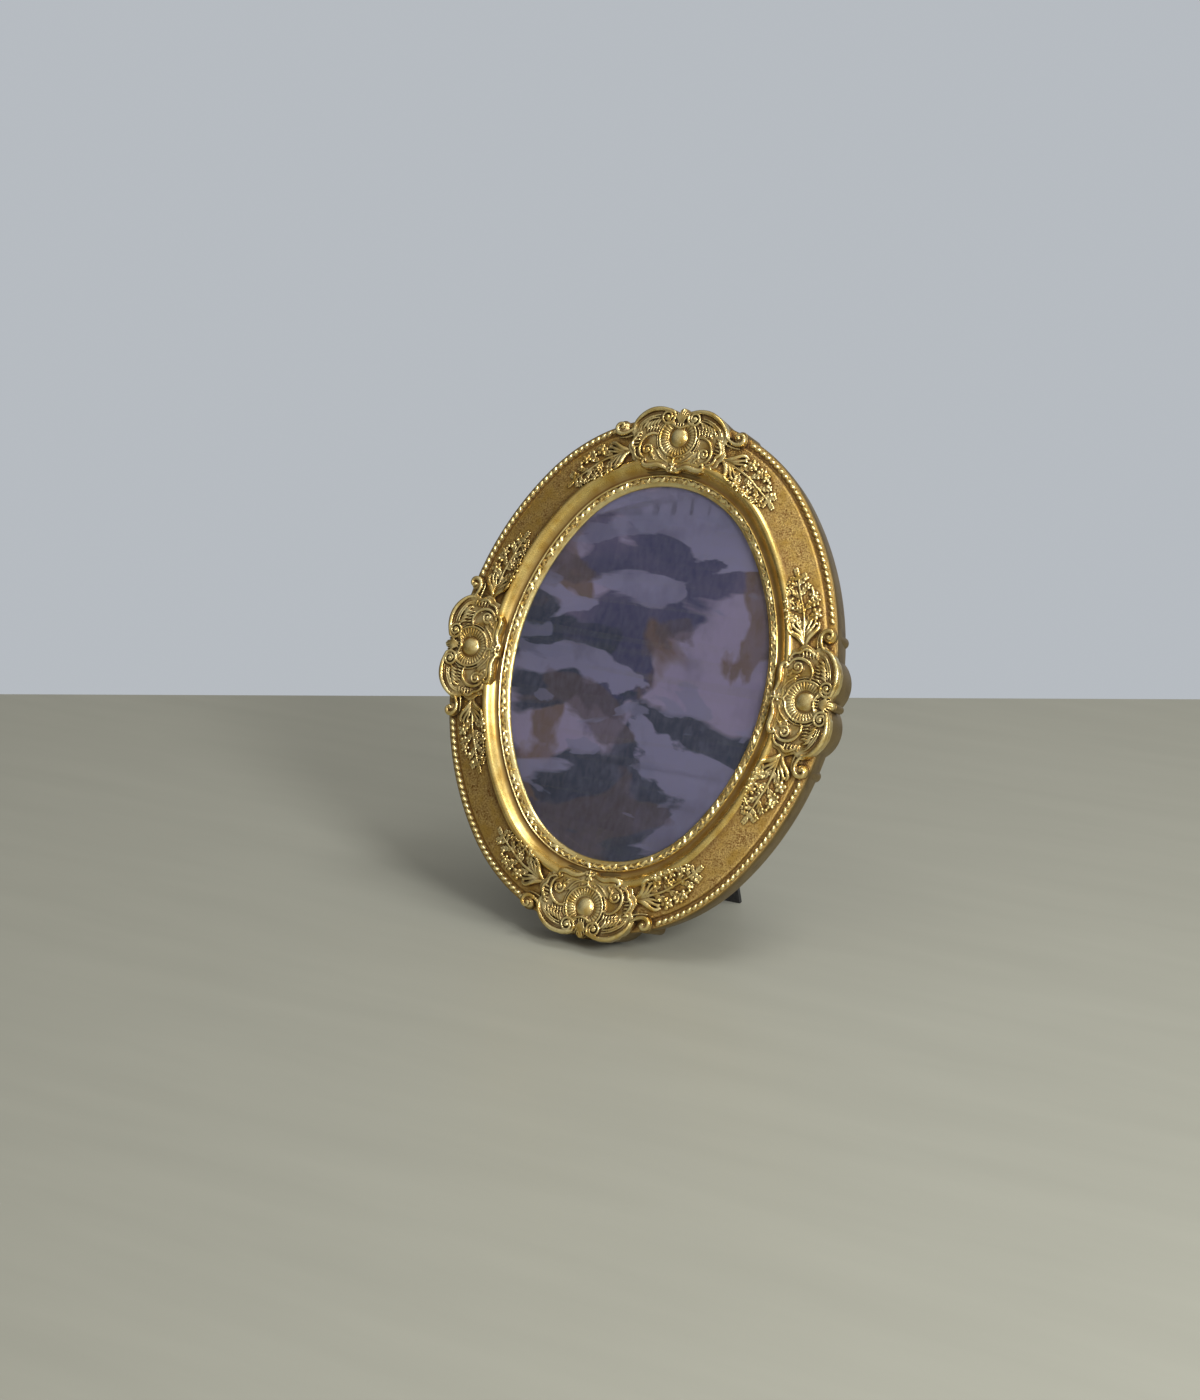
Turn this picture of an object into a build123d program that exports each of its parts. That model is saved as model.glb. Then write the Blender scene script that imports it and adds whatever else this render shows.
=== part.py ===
from build123d import *
import math
import os

# An oval table frame for a picture: a gilded moulding with four carved cartouches,
# eight floral sprays, a rope edge and a leaf band, holding glass, print and card,
# closed by a back panel with a hinged easel strut, six turn buttons and a hanging ring.
# Everything is first laid out flat: X to the right, Y up the frame, Z out of its front,
# with zero at the middle of the glass's front face. stand_up() then leans it back.
# A place on the moulding is given as its run, the distance outward from the sight edge,
# and its rise, the distance in front of the glass.

# Glass and the opening that shows it
glass_width = 180.0
glass_height = 240.0
glass_thickness = 2.0
print_thickness = 0.3
card_thickness = 2.0
panel_thickness = 3.0
sight_cover = 3.5
sight_end_radius = 70.0
pack_clearance = 0.75

# How it stands
lean_angle = 23.5
strut_opening = 30.0

# Moulding section, from the sight edge outward
bevel_run = 1.0
bevel_rise = 1.6
band_run = 5.6
band_crown_run = 3.0
band_crown_rise = 3.2
band_end_rise = 2.4
bead_run = 6.3
bead_rise = 3.7
cove_run = 9.4
cove_rise = 3.5
crest_run = 12.4
crest_rise = 6.7
crest_top_run = 15.2
crest_top_rise = 7.9
panel_run = 18.0
panel_rise = 5.6
panel_end_run = 37.6
panel_end_rise = 2.3
rope_seat_run = 38.5
rope_seat_rise = 1.0
wall_run = 44.3
wall_back_run = 41.8
moulding_back = 19.0
recess_run = 35.5

# Rope of slanted beads and its pitch, height and slant
rope_width = 4.8
rope_height = 2.6
rope_pitch = 4.25
rope_bead_length = 3.7
rope_slant = 1.7
rope_taper = 34.0
rope_ball_gap = 1.5

# Cartouche: places are (across, outward) from the sight edge on its own centre line
hump_across = 13.2
hump_out = 27.3
hump_radius = 21.5
knuckle_across = 40.5
knuckle_out = 35.6
knuckle_radius = 4.3
finial_out = 46.2
finial_radius = 3.0
finial_stalk = 10.0
finial_back = 10.0
block_top = 3.2
block_draft = 2.0
plate_top = 8.0
ridge_top = 9.6
ridge_width = 2.2
arc_steps = 5
relief_sink = 1.0
neck_top = 7.0
rim_radius = 21.0
rim_start = 12.0
rim_sweep = 92.0
shell_out = 30.0
shell_radius = 12.6
shell_mouth_radius = 8.6
shell_start = 118.0
shell_sweep = 304.0
shell_top = 9.4
boss_radius = 6.6
boss_height = 3.4
boss_shoulder_share = 0.72
boss_sides = 12
volute_across = 9.2
volute_out = 42.8
volute_radius = 4.2
eye_share = 0.42
knob_sides = 8
lobe_across = 18.8
lobe_out = 22.8
lobe_radius = 8.2
lobe_start = -62.0
lobe_sweep = 190.0
curl_across = 20.4
curl_out = 19.8
curl_radius = 2.7
foot_out = 4.4
right_cartouche_drop = 2.5
cartouche_count = 4
plate_reach = 34.0
plate_depth = 45.0

# Floral spray along the middle of the panel
spray_start = 31.0
spray_length = 50.0
spray_run = 25.0
spray_height = 1.9
stem_height = 0.9
stem_bars = 3
spray_spread = 9.0
stem_width = 1.2
leaf_length = 8.6
leaf_width = 3.8
leaf_belly_share = 0.42
leaf_taper = 32.0
root_leaf_length = 13.0
root_leaf_turn = 26.0
tip_leaf_length = 5.6
tip_leaf_turn = 52.0
berry_radius = 1.7
berry_sides = 5

# Turn buttons that hold the back panel, and their screws
button_count = 6
button_length = 19.0
button_width = 8.0
button_thickness = 1.0
button_corner = 2.2
button_gap = 0.1
button_lap = 7.0
screw_radius = 1.5
screw_depth = 5.0
screw_head_radius = 2.9
screw_head_height = 1.4
screw_end = 3.9
hole_slack = 0.12

# Easel strut and its hinge
hinge_height = 45.0
strut_thickness = 3.0
strut_top_width = 52.0
strut_foot_width = 99.0
strut_corner = 4.0
strut_top_gap = 0.7
hinge_width = 44.0
hinge_knuckles = 3
knuckle_gap = 0.35
barrel_radius = 1.6
barrel_gap = 0.3
pin_radius = 0.9
pin_clearance = 0.05
leaf_thickness = 0.8
leaf_reach = 17.0
leaf_panel_gap = 0.4
stop_reach = 6.0
stop_gap = 0.1
rivet_radius = 1.3
rivet_head_radius = 2.4
rivet_head_height = 0.9
rivet_inset = 6.0
rivet_count = 2

# Hanging ring and its strap on the ledge above the panel
strap_width = 9.0
strap_length = 16.0
strap_thickness = 0.8
strap_run = 10.5
loop_radius = 2.1
loop_clearance = 0.3
ring_bar_radius = 1.0
ring_width = 17.0
ring_drop = 13.0
ring_wire = 2.0
ring_thickness = 1.6
strap_screw_inset = 4.5

# Screws and rivets are twelve-sided, cuts run past the faces they open, and turns in degrees
round_sides = 12
overrun = 1.0
right_angle = 90.0
half_turn = 180.0

# Shares of a plate's reach and depth, from its foot round one side to its top
plate_outline_shares = [
    (0.10, 0.00),
    (0.13, 0.07),
    (0.30, 0.115),
    (0.60, 0.11),
    (0.68, 0.17),
    (0.70, 0.24),
    (0.83, 0.27),
    (0.87, 0.40),
    (0.84, 0.54),
    (0.82, 0.62),
]
# Shares of the spray's length and half spread, with each leaf's turn in degrees
spray_leaf_shares = [
    (0.26, 0.25, 40.0),
    (0.42, -0.25, -38.0),
    (0.58, 0.25, 36.0),
    (0.74, -0.20, -34.0),
]
spray_berry_shares = [(0.45, 0.70), (0.60, -0.70)]

# Places worked out from the sizes above
half_width = glass_width / 2 - sight_cover
half_height = glass_height / 2 - sight_cover
end_centre = half_height - sight_end_radius
side_radius = (half_width**2 + half_height**2 - 2 * half_height * sight_end_radius) / (
    2 * (half_width - sight_end_radius)
)
side_centre = side_radius - half_width
side_turn = math.degrees(math.atan2(end_centre, side_centre))
rabbet_run = sight_cover + pack_clearance
print_face = -glass_thickness
card_face = print_face - print_thickness
panel_face = card_face - card_thickness
panel_rear = panel_face - panel_thickness
ledge = panel_rear
barrel_rise = panel_rear - barrel_gap - barrel_radius
strut_leaf_face = panel_rear - leaf_panel_gap
strut_face = strut_leaf_face - leaf_thickness
panel_rivet_height = hinge_height + leaf_reach - rivet_inset
strut_rivet_height = hinge_height - leaf_reach + rivet_inset
button_screw_run = sight_cover - button_lap + button_length - screw_end
button_face = ledge - button_gap
head_face = button_face - button_thickness - button_gap
loop_rise = ledge - loop_radius
panel_slope = math.degrees(math.atan2(panel_rise - panel_end_rise, panel_end_run - panel_run))
stand_back_run = hump_out + hump_radius - block_draft
lean = math.radians(lean_angle)
floor_height = -(half_height + stand_back_run) * math.cos(lean) - moulding_back * math.sin(lean)


def oval_arcs():
    """The sight edge as four arcs: centre, radius, start angle and sweep, right, top, left, bottom."""
    end_turn = half_turn - 2 * side_turn
    return [
        ((-side_centre, 0), side_radius, -side_turn, 2 * side_turn),
        ((0, end_centre), sight_end_radius, side_turn, end_turn),
        ((side_centre, 0), side_radius, half_turn - side_turn, 2 * side_turn),
        ((0, -end_centre), sight_end_radius, half_turn + side_turn, end_turn),
    ]


def oval_face(run):
    """The oval at a distance outside the sight edge, as one flat face."""
    arcs = [CenterArc(centre, radius + run, start, sweep) for centre, radius, start, sweep in oval_arcs()]
    return make_face(arcs)


def oval_board(run, front, thickness):
    """A flat oval sheet whose front face is at the given rise."""
    return extrude(Pos(0, 0, front - thickness) * oval_face(run), amount=thickness)


def arc_plane(centre, angle):
    """The plane of a section across the moulding: X outward, Y out of the front."""
    turn = math.radians(angle)
    outward = (math.cos(turn), math.sin(turn), 0)
    along = (math.sin(turn), -math.cos(turn), 0)
    return Plane(origin=(centre[0], centre[1], 0), x_dir=outward, z_dir=along)


def run_round(section):
    """A section of run and rise carried round the whole oval."""
    ring = None
    for centre, radius, start, sweep in oval_arcs():
        placed = arc_plane(centre, start) * (Pos(radius, 0) * section)
        quarter = revolve(placed, Axis((centre[0], centre[1], 0), (0, 0, 1)), revolution_arc=sweep)
        ring = quarter if ring is None else ring + quarter
    return ring


def oval_place(run, travel):
    """The point, heading and outward angle at a distance travelled anticlockwise from the right."""
    arcs = oval_arcs()
    lengths = [math.radians(sweep) * (radius + run) for _, radius, _, sweep in arcs]
    travel = (travel + lengths[0] / 2) % sum(lengths)
    for (centre, radius, start, _), length in zip(arcs, lengths):
        if travel <= length:
            break
        travel -= length
    angle = start + math.degrees(travel / (radius + run))
    turn = math.radians(angle)
    reach = radius + run
    return centre[0] + reach * math.cos(turn), centre[1] + reach * math.sin(turn), angle


def oval_length(run):
    """The length of the oval at a distance outside the sight edge."""
    return sum(math.radians(sweep) * (radius + run) for _, radius, _, sweep in oval_arcs())


def on_oval(run, travel):
    """The frame of a piece laid on the moulding: X outward, Y along it anticlockwise."""
    x, y, angle = oval_place(run, travel)
    return Pos(x, y, 0) * Rot(0, 0, angle)


def moulding_section():
    """Bevel, leaf band, bead, cove, crest, panel, rope seat, wall, and the stepped back."""
    front = [
        (0, 0),
        (bevel_run, bevel_rise),
        (band_crown_run, band_crown_rise),
        (band_run, band_end_rise),
        (bead_run, bead_rise),
        (cove_run, cove_rise),
        (crest_run, crest_rise),
        (crest_top_run, crest_top_rise),
        (panel_run, panel_rise),
        (panel_end_run, panel_end_rise),
        (rope_seat_run, rope_seat_rise),
        (wall_run, rope_seat_rise),
    ]
    back = [
        (wall_back_run, -moulding_back),
        (recess_run, -moulding_back),
        (recess_run, ledge),
        (rabbet_run, ledge),
        (rabbet_run, 0),
    ]
    return make_face(Polyline(front + back, close=True))


def cartouche_places():
    """Where each cartouche's centre line meets the sight edge, X across it and Y outward."""
    drop_turn = math.degrees(right_cartouche_drop / side_radius)
    return {
        "top": Pos(0, half_height, 0),
        "left": Pos(-half_width, 0, 0) * Rot(0, 0, right_angle),
        "bottom": Pos(0, -half_height, 0) * Rot(0, 0, half_turn),
        "right": Pos(-side_centre, 0, 0) * Rot(0, 0, -drop_turn) * Pos(side_radius, 0, 0) * Rot(0, 0, -right_angle),
    }


def both_sides(shape):
    """The shape and its mirror image across the centre line."""
    return shape + mirror(shape, Plane.YZ)


def block_cone(across, out, radius):
    """One rounded swelling of the outer wall, drafted in toward the back."""
    height = moulding_back + block_top
    cone = Cone(radius - block_draft, radius, height)
    return Pos(across, out, block_top - height / 2) * cone


def block_rib(across, out, radius, back):
    """One small faceted rib down the outer wall, as far as the given depth behind the glass."""
    face = Pos(across, out, -back) * RegularPolygon(radius, knob_sides)
    return extrude(face, amount=back + block_top)


def cartouche_block():
    """The solid under a cartouche, whose humps and knuckles show in the outline."""
    humps = block_cone(hump_across, hump_out, hump_radius)
    knuckles = block_rib(knuckle_across, knuckle_out, knuckle_radius, moulding_back)
    return both_sides(humps) + both_sides(knuckles) + block_rib(0, finial_out, finial_radius, finial_back)


def peg(radius, length):
    """The twelve-sided shank of a screw or rivet, its middle at zero."""
    return Pos(0, 0, -length / 2) * extrude(RegularPolygon(radius, round_sides), amount=length)


def screw_bores():
    """Pilot bores in the ledge, the screws' own size."""
    bores = [place * peg(screw_radius, screw_depth) for place in screw_places(screw_depth)]
    bores.append(strap_screw_place(screw_depth) * peg(screw_radius, screw_depth))
    return bores


def screw_places(depth):
    """The middle of each turn button screw's shank in the ledge."""
    step = oval_length(0) / button_count
    middle = ledge + depth / 2
    return [on_oval(button_screw_run, step * index) * Pos(0, 0, middle) for index in range(button_count)]


def strap_screw_place(depth):
    """The middle of the hanger screw's shank in the ledge."""
    return Pos(0, half_height + strap_run + strap_length - strap_screw_inset, ledge + depth / 2)


def frame_moulding(carving):
    """The oval ring with its four blocks, its stepped back, and the seats of carvings and screws."""
    ring = run_round(moulding_section())
    hollow = oval_board(recess_run, ledge, moulding_back + ledge + overrun)
    for place in cartouche_places().values():
        ring += place * cartouche_block() - hollow
        ring -= place * carving
    return ring - screw_bores()


def rope_bead():
    """One slanted bead of the rope, standing on its seat."""
    half = rope_width / 2
    long_half = rope_bead_length / 2
    slant = rope_slant / 2
    outline = Polyline(
        (-half, -long_half - slant),
        (half, -long_half + slant),
        (half, long_half + slant),
        (-half, long_half - slant),
        close=True,
    )
    return extrude(make_face(outline), amount=rope_height, taper=rope_taper)


def rope_runs():
    """The four stretches of rope between the cartouches, as start and end travel."""
    run = (rope_seat_run + wall_run) / 2
    quarter = oval_length(run) / cartouche_count
    clear = knuckle_across + knuckle_radius + rope_ball_gap
    names = ["top_right", "top_left", "bottom_left", "bottom_right"]
    drops = [right_cartouche_drop, 0, 0, right_cartouche_drop]
    stretches = {}
    for index, name in enumerate(names):
        start = quarter * index + clear
        end = quarter * (index + 1) - clear
        if name == "top_right":
            start -= drops[index]
        if name == "bottom_right":
            end -= drops[index]
        stretches["rope_" + name] = (run, start, end)
    return stretches


def rope_stretch(run, start, end):
    """The beads of one stretch, evenly spaced and almost touching."""
    count = int((end - start - rope_bead_length) / rope_pitch) + 1
    first = start + (end - start - (count - 1) * rope_pitch) / 2
    bead = rope_bead()
    seat = Pos(0, 0, rope_seat_rise)
    places = [on_oval(run, first + rope_pitch * index) for index in range(count)]
    return Compound(children=[(place * seat * bead).solid() for place in places])


def arc_points(across, out, radius, start, sweep):
    """Evenly spaced points along an arc."""
    turns = [math.radians(start + sweep * step / arc_steps) for step in range(arc_steps + 1)]
    return [(across + radius * math.cos(turn), out + radius * math.sin(turn)) for turn in turns]


def plate_face():
    """The cartouche's ground: a scrolled outline from foot to hump, the same on both sides."""
    side = [(plate_reach * across, foot_out + plate_depth * out) for across, out in plate_outline_shares]
    side += arc_points(hump_across, hump_out, rim_radius, rim_start, rim_sweep)
    other = [(-across, out) for across, out in reversed(side)]
    return make_face(Polyline(side + [(0, shell_out + shell_radius)] + other, close=True))


def raised(face, top):
    """A flat form raised from the block's top face to the given rise."""
    return extrude(Pos(0, 0, block_top) * face, amount=top - block_top)


def relief(face, top):
    """A flat form raised on the cartouche's ground plate."""
    base = plate_top - relief_sink
    return extrude(Pos(0, 0, base) * face, amount=top - base)


def crescent(across, out, radii, start, sweep):
    """The face of a curved ridge between an inner and an outer radius."""
    outer = arc_points(across, out, radii[1], start, sweep)
    inner = arc_points(across, out, radii[0], start, sweep)
    return make_face(Polyline(outer + inner[::-1], close=True))


def knob(across, out, radius, top):
    """A small scroll's eye: an eight-sided button with a coned head."""
    crown = radius * (1 - eye_share)
    face = Pos(across, out) * RegularPolygon(radius, knob_sides)
    slope = math.degrees(math.atan(crown / (crown / 2)))
    cone = extrude(Pos(0, 0, top - crown / 2) * face, amount=crown / 2, taper=slope)
    return raised(face, top - crown / 2) + cone


def shell():
    """The open crescent round the boss."""
    radii = (shell_mouth_radius, shell_radius)
    return relief(crescent(0, shell_out, radii, shell_start, shell_sweep), shell_top)


def boss():
    """The polished boss in the shell's mouth, coned in two slopes."""
    ground = shell_top - boss_height
    shoulder = boss_radius * boss_shoulder_share
    low = boss_height * boss_shoulder_share
    slope = math.degrees(math.atan((boss_radius - shoulder) / low))
    face = Pos(0, shell_out, plate_top) * RegularPolygon(boss_radius, boss_sides)
    crown = Pos(0, shell_out, plate_top + low) * RegularPolygon(shoulder, boss_sides)
    crown_slope = math.degrees(math.atan(shoulder * boss_shoulder_share / (boss_height - low)))
    return extrude(face, amount=low, taper=slope) + extrude(crown, amount=boss_height - low, taper=crown_slope)


def neck():
    """The short bar that joins a hump's rim to its knuckle."""
    turn = math.radians(rim_start)
    start = Vector(hump_across + rim_radius * math.cos(turn), hump_out + rim_radius * math.sin(turn))
    end = Vector(knuckle_across, knuckle_out)
    middle = (start + end) / 2
    way = end - start
    bar = Rectangle(way.length + ridge_width, ridge_width)
    return raised(Pos(middle.X, middle.Y) * Rot(0, 0, math.degrees(math.atan2(way.Y, way.X))) * bar, neck_top)


def finial():
    """The centre knob on its stalk above the shell."""
    stalk = Pos(0, finial_out - finial_stalk / 2) * Rectangle(finial_radius, finial_stalk)
    return knob(0, finial_out, finial_radius, ridge_top) + raised(stalk, neck_top)


def cartouche():
    """Ground plate, rims, scrolls, shell, boss and knobs, flat underneath."""
    rim_face = crescent(hump_across, hump_out, (rim_radius - ridge_width, rim_radius), rim_start, rim_sweep)
    lobe_face = crescent(lobe_across, lobe_out, (lobe_radius - ridge_width, lobe_radius), lobe_start, lobe_sweep)
    volute = knob(volute_across, volute_out, volute_radius, ridge_top)
    curl = knob(curl_across, curl_out, curl_radius, ridge_top)
    knuckle = knob(knuckle_across, knuckle_out, knuckle_radius, plate_top)
    form = extrude(Pos(0, 0, bevel_rise) * plate_face(), amount=plate_top - bevel_rise)
    for feature in (relief(rim_face, ridge_top), relief(lobe_face, ridge_top), volute, curl, knuckle, neck()):
        form += both_sides(feature)
    return form + shell() + boss() + finial()


def leaf(length):
    """A pointed leaf with sloping sides, its stalk end at the origin, lying along X."""
    half = leaf_width / 2
    belly = length * leaf_belly_share
    outline = Polyline((0, 0), (belly, -half), (length, 0), (belly, half), close=True)
    return extrude(make_face(outline), amount=spray_height, taper=leaf_taper)


def berry():
    """A small cut berry."""
    return extrude(RegularPolygon(berry_radius, berry_sides), amount=spray_height, taper=leaf_taper)


def panel_place(middle, hand, along, aside):
    """A place on the panel beside a cartouche, X along the spray; hand is 1 anticlockwise, -1 clockwise."""
    x, y, angle = oval_place(spray_run, middle + hand * (spray_start + along))
    run = spray_run - aside
    rise = panel_rise + (panel_end_rise - panel_rise) * (run - panel_run) / (panel_end_run - panel_run)
    spot = Pos(x, y, rise) * Rot(0, 0, angle) * Pos(-aside, 0, 0)
    return spot * Rot(0, panel_slope, 0) * Rot(0, 0, hand * right_angle)


def stem(middle, hand):
    """The spray's stem, a chain of short bars curved with the oval."""
    step = spray_length / stem_bars
    bar = Pos(0, 0, stem_height / 2) * Box(step + stem_width, stem_width, stem_height)
    spots = [step * index + step / 2 for index in range(stem_bars)]
    return Part() + [panel_place(middle, hand, spot, 0) * bar for spot in spots]


def spray(middle, hand):
    """Stem, root pair, side leaves, berries and three-lobed tip, to one side of a cartouche."""
    form = stem(middle, hand)
    half = spray_spread / 2
    for turn in (root_leaf_turn, -root_leaf_turn):
        form += panel_place(middle, hand, 0, 0) * Rot(0, 0, turn) * leaf(root_leaf_length)
    for along, aside, turn in spray_leaf_shares:
        place = panel_place(middle, hand, spray_length * along, stem_width * aside)
        form += place * Rot(0, 0, -hand * turn) * leaf(leaf_length)
    for along, aside in spray_berry_shares:
        form += panel_place(middle, hand, spray_length * along, half * aside) * berry()
    for turn in (tip_leaf_turn, 0, -tip_leaf_turn):
        place = panel_place(middle, hand, spray_length - stem_width, 0)
        form += place * Rot(0, 0, turn) * leaf(tip_leaf_length)
    return form


def button_outline():
    """A stamped tongue with clipped corners, from the screw's end to its tip."""
    half = button_width / 2
    tip = screw_end - button_length
    return Polyline(
        (screw_end, -half + button_corner),
        (screw_end, half - button_corner),
        (screw_end - button_corner, half),
        (tip + button_corner, half),
        (tip, half - button_corner),
        (tip, -half + button_corner),
        (tip + button_corner, -half),
        (screw_end - button_corner, -half),
        close=True,
    )


def turn_button():
    """The tongue, lying over the panel's edge, with its screw hole at zero."""
    face = make_face(button_outline()) - RegularPolygon(screw_radius + hole_slack, round_sides)
    return Pos(0, 0, button_face - button_thickness) * extrude(face, amount=button_thickness)


def screw(face):
    """A pan-headed screw whose head bears at the given rise, its shank in the ledge."""
    length = ledge + screw_depth - face
    shank = Pos(0, 0, face + length / 2) * peg(screw_radius, length)
    return shank + Pos(0, 0, face - screw_head_height) * cap(screw_head_radius, screw_head_height)


def cap(radius, height):
    """A flat twelve-sided head, its bearing face up."""
    return extrude(RegularPolygon(radius, round_sides), amount=height)


def across_cylinder(radius, middle, length, height, rise):
    """A round bar along X."""
    return Pos(middle, height, rise) * Rot(0, right_angle, 0) * Cylinder(radius, length)


def knuckle_spans():
    """The middle of each hinge knuckle along X, the fixed leaf's first."""
    step = hinge_width / hinge_knuckles
    middles = [step * index + step / 2 - hinge_width / 2 for index in range(hinge_knuckles)]
    return middles[0::2], middles[1::2], step - knuckle_gap


def barrel(middles, length):
    """The knuckles of one leaf."""
    return [across_cylinder(barrel_radius, middle, length, hinge_height, barrel_rise) for middle in middles]


def pin_bore():
    """The bore for the pin, through every knuckle."""
    return across_cylinder(pin_radius + pin_clearance, 0, hinge_width + overrun, hinge_height, barrel_rise)


def slab(low, high):
    """A block between two opposite corners."""
    size = [b - a for a, b in zip(low, high)]
    middle = [(a + b) / 2 for a, b in zip(low, high)]
    return Pos(*middle) * Box(*size)


def rivet_spots():
    """The middles of a hinge leaf's rivets along X."""
    step = (hinge_width - 2 * rivet_inset) / (rivet_count - 1)
    return [step * index + rivet_inset - hinge_width / 2 for index in range(rivet_count)]


def rivet_shanks(height, front, rear):
    """Round shanks of a row of rivets between two faces."""
    middle = (front + rear) / 2
    return [Pos(x, height, middle) * peg(rivet_radius, front - rear) for x in rivet_spots()]


def rivets(height, front, rear):
    """A row of rivets, clinched flush in front and headed behind."""
    head = Pos(0, 0, -rivet_head_height) * cap(rivet_head_radius, rivet_head_height)
    heads = [Pos(x, height, rear) * head for x in rivet_spots()]
    pairs = zip(rivet_shanks(height, front, rear), heads)
    return Compound(children=[(shank + end).solid() for shank, end in pairs])


def hinge_fixed_leaf():
    """The leaf riveted to the back panel, notched round the other leaf's knuckles."""
    fixed, moving, length = knuckle_spans()
    half = hinge_width / 2
    rear = panel_rear - leaf_thickness
    plate = slab((-half, hinge_height, rear), (half, hinge_height + leaf_reach, panel_rear))
    notch = barrel_radius + knuckle_gap
    for middle in moving:
        side = length / 2 + knuckle_gap
        low = (middle - side, hinge_height - notch, rear - overrun)
        high = (middle + side, hinge_height + notch, panel_rear + overrun)
        plate -= slab(low, high)
    plate -= rivet_shanks(panel_rivet_height, panel_rear, rear)
    return plate + barrel(fixed, length) - pin_bore()


def hinge_strut_leaf():
    """The leaf riveted to the strut, with the stop tabs that hold it open, as if folded flat."""
    fixed, moving, length = knuckle_spans()
    half = hinge_width / 2
    front = strut_leaf_face
    plate = slab((-half, hinge_height - leaf_reach, front - leaf_thickness), (half, hinge_height, front))
    notch = barrel_radius + knuckle_gap
    for middle in fixed:
        side = length / 2 + knuckle_gap
        low = (middle - side, hinge_height - notch, front - leaf_thickness - overrun)
        high = (middle + side, hinge_height + notch, front + overrun)
        plate -= slab(low, high)
    plate -= rivet_shanks(strut_rivet_height, front, strut_face)
    return plate + barrel(moving, length) - pin_bore()


def stop_tabs():
    """Tabs behind the knuckles that meet the fixed leaf when the strut is open."""
    moving, length = knuckle_spans()[1:]
    front = panel_rear - leaf_thickness - stop_gap
    tabs = []
    for middle in moving:
        low = (middle - length / 2, hinge_height, front - leaf_thickness)
        high = (middle + length / 2, hinge_height + stop_reach, front)
        tabs.append(slab(low, high))
    return Part() + tabs - pin_bore()


def opened(shape):
    """A piece of the strut's body, swung open about the hinge pin."""
    pivot = Pos(0, hinge_height, barrel_rise)
    return pivot * Rot(strut_opening, 0, 0) * pivot.inverse() * shape


def hinge_pin():
    """The plain pin through every knuckle."""
    return across_cylinder(pin_radius, 0, hinge_width, hinge_height, barrel_rise)


def easel_strut():
    """The tapered board, as if folded flat, its foot cut to the table when it stands open."""
    top = hinge_height - barrel_radius - strut_top_gap
    drop = hinge_height * math.cos(lean) + barrel_rise * math.sin(lean) - floor_height
    length = drop / math.cos(math.radians(strut_opening - lean_angle))
    foot = hinge_height - length - strut_thickness
    half_top = strut_top_width / 2
    half_foot = strut_foot_width / 2
    outline = Polyline(
        (-half_foot, foot),
        (half_foot, foot),
        (half_top, top - strut_corner),
        (half_top - strut_corner, top),
        (-half_top + strut_corner, top),
        (-half_top, top - strut_corner),
        close=True,
    )
    board = Pos(0, 0, strut_face - strut_thickness) * extrude(make_face(outline), amount=strut_thickness)
    board -= rivet_shanks(strut_rivet_height, strut_face, strut_face - strut_thickness)
    table = Plane(origin=(0, 0, 0), z_dir=(0, math.cos(lean), math.sin(lean))).offset(floor_height)
    return split(opened(board), bisect_by=table, keep=Keep.TOP)


def hanger_strap():
    """The strap screwed to the ledge above the panel, rolled round the ring's bar."""
    low = half_height + strap_run
    half = strap_width / 2
    plate = slab((-half, low, ledge - strap_thickness), (half, low + strap_length, ledge))
    plate -= strap_screw_place(screw_depth) * peg(screw_radius, screw_depth + 2 * strap_thickness)
    plate += across_cylinder(loop_radius, 0, strap_width, low, loop_rise)
    return plate - across_cylinder(ring_bar_radius + loop_clearance, 0, strap_width + overrun, low, loop_rise)


def hanger_screw():
    """The screw of the strap."""
    place = strap_screw_place(screw_depth)
    return Pos(place.position.X, place.position.Y, 0) * screw(ledge - strap_thickness)


def ring_outline(half, drop):
    """A U as wide and deep as given, round below."""
    round_start = (half, half - drop)
    round_end = (-half, half - drop)
    return [
        Line((-half, 0), (half, 0)),
        Line((half, 0), round_start),
        ThreePointArc(round_start, (0, -drop), round_end),
        Line(round_end, (-half, 0)),
    ]


def hanger_ring():
    """The D-shaped ring, hanging plumb from its bar when the frame stands."""
    half = ring_width / 2
    outer = make_face(ring_outline(half, ring_drop))
    inner = make_face(ring_outline(half - ring_wire, ring_drop - ring_wire))
    legs = Pos(0, 0, -ring_thickness / 2) * extrude(outer - inner, amount=ring_thickness)
    ring = legs + across_cylinder(ring_bar_radius, 0, ring_width, 0, 0)
    return Pos(0, half_height + strap_run, loop_rise) * Rot(lean_angle, 0, 0) * ring


def sprays():
    """The eight sprays, two beside each cartouche, lying on the panel."""
    quarter = oval_length(spray_run) / cartouche_count
    drop = right_cartouche_drop * (side_radius + spray_run) / side_radius
    middles = {"top": quarter, "left": quarter * 2, "bottom": quarter * 3, "right": -drop}
    forms = {}
    for name, middle in middles.items():
        forms["spray_" + name + "_clockwise"] = spray(middle, -1)
        forms["spray_" + name + "_anticlockwise"] = spray(middle, 1)
    return forms


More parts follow.
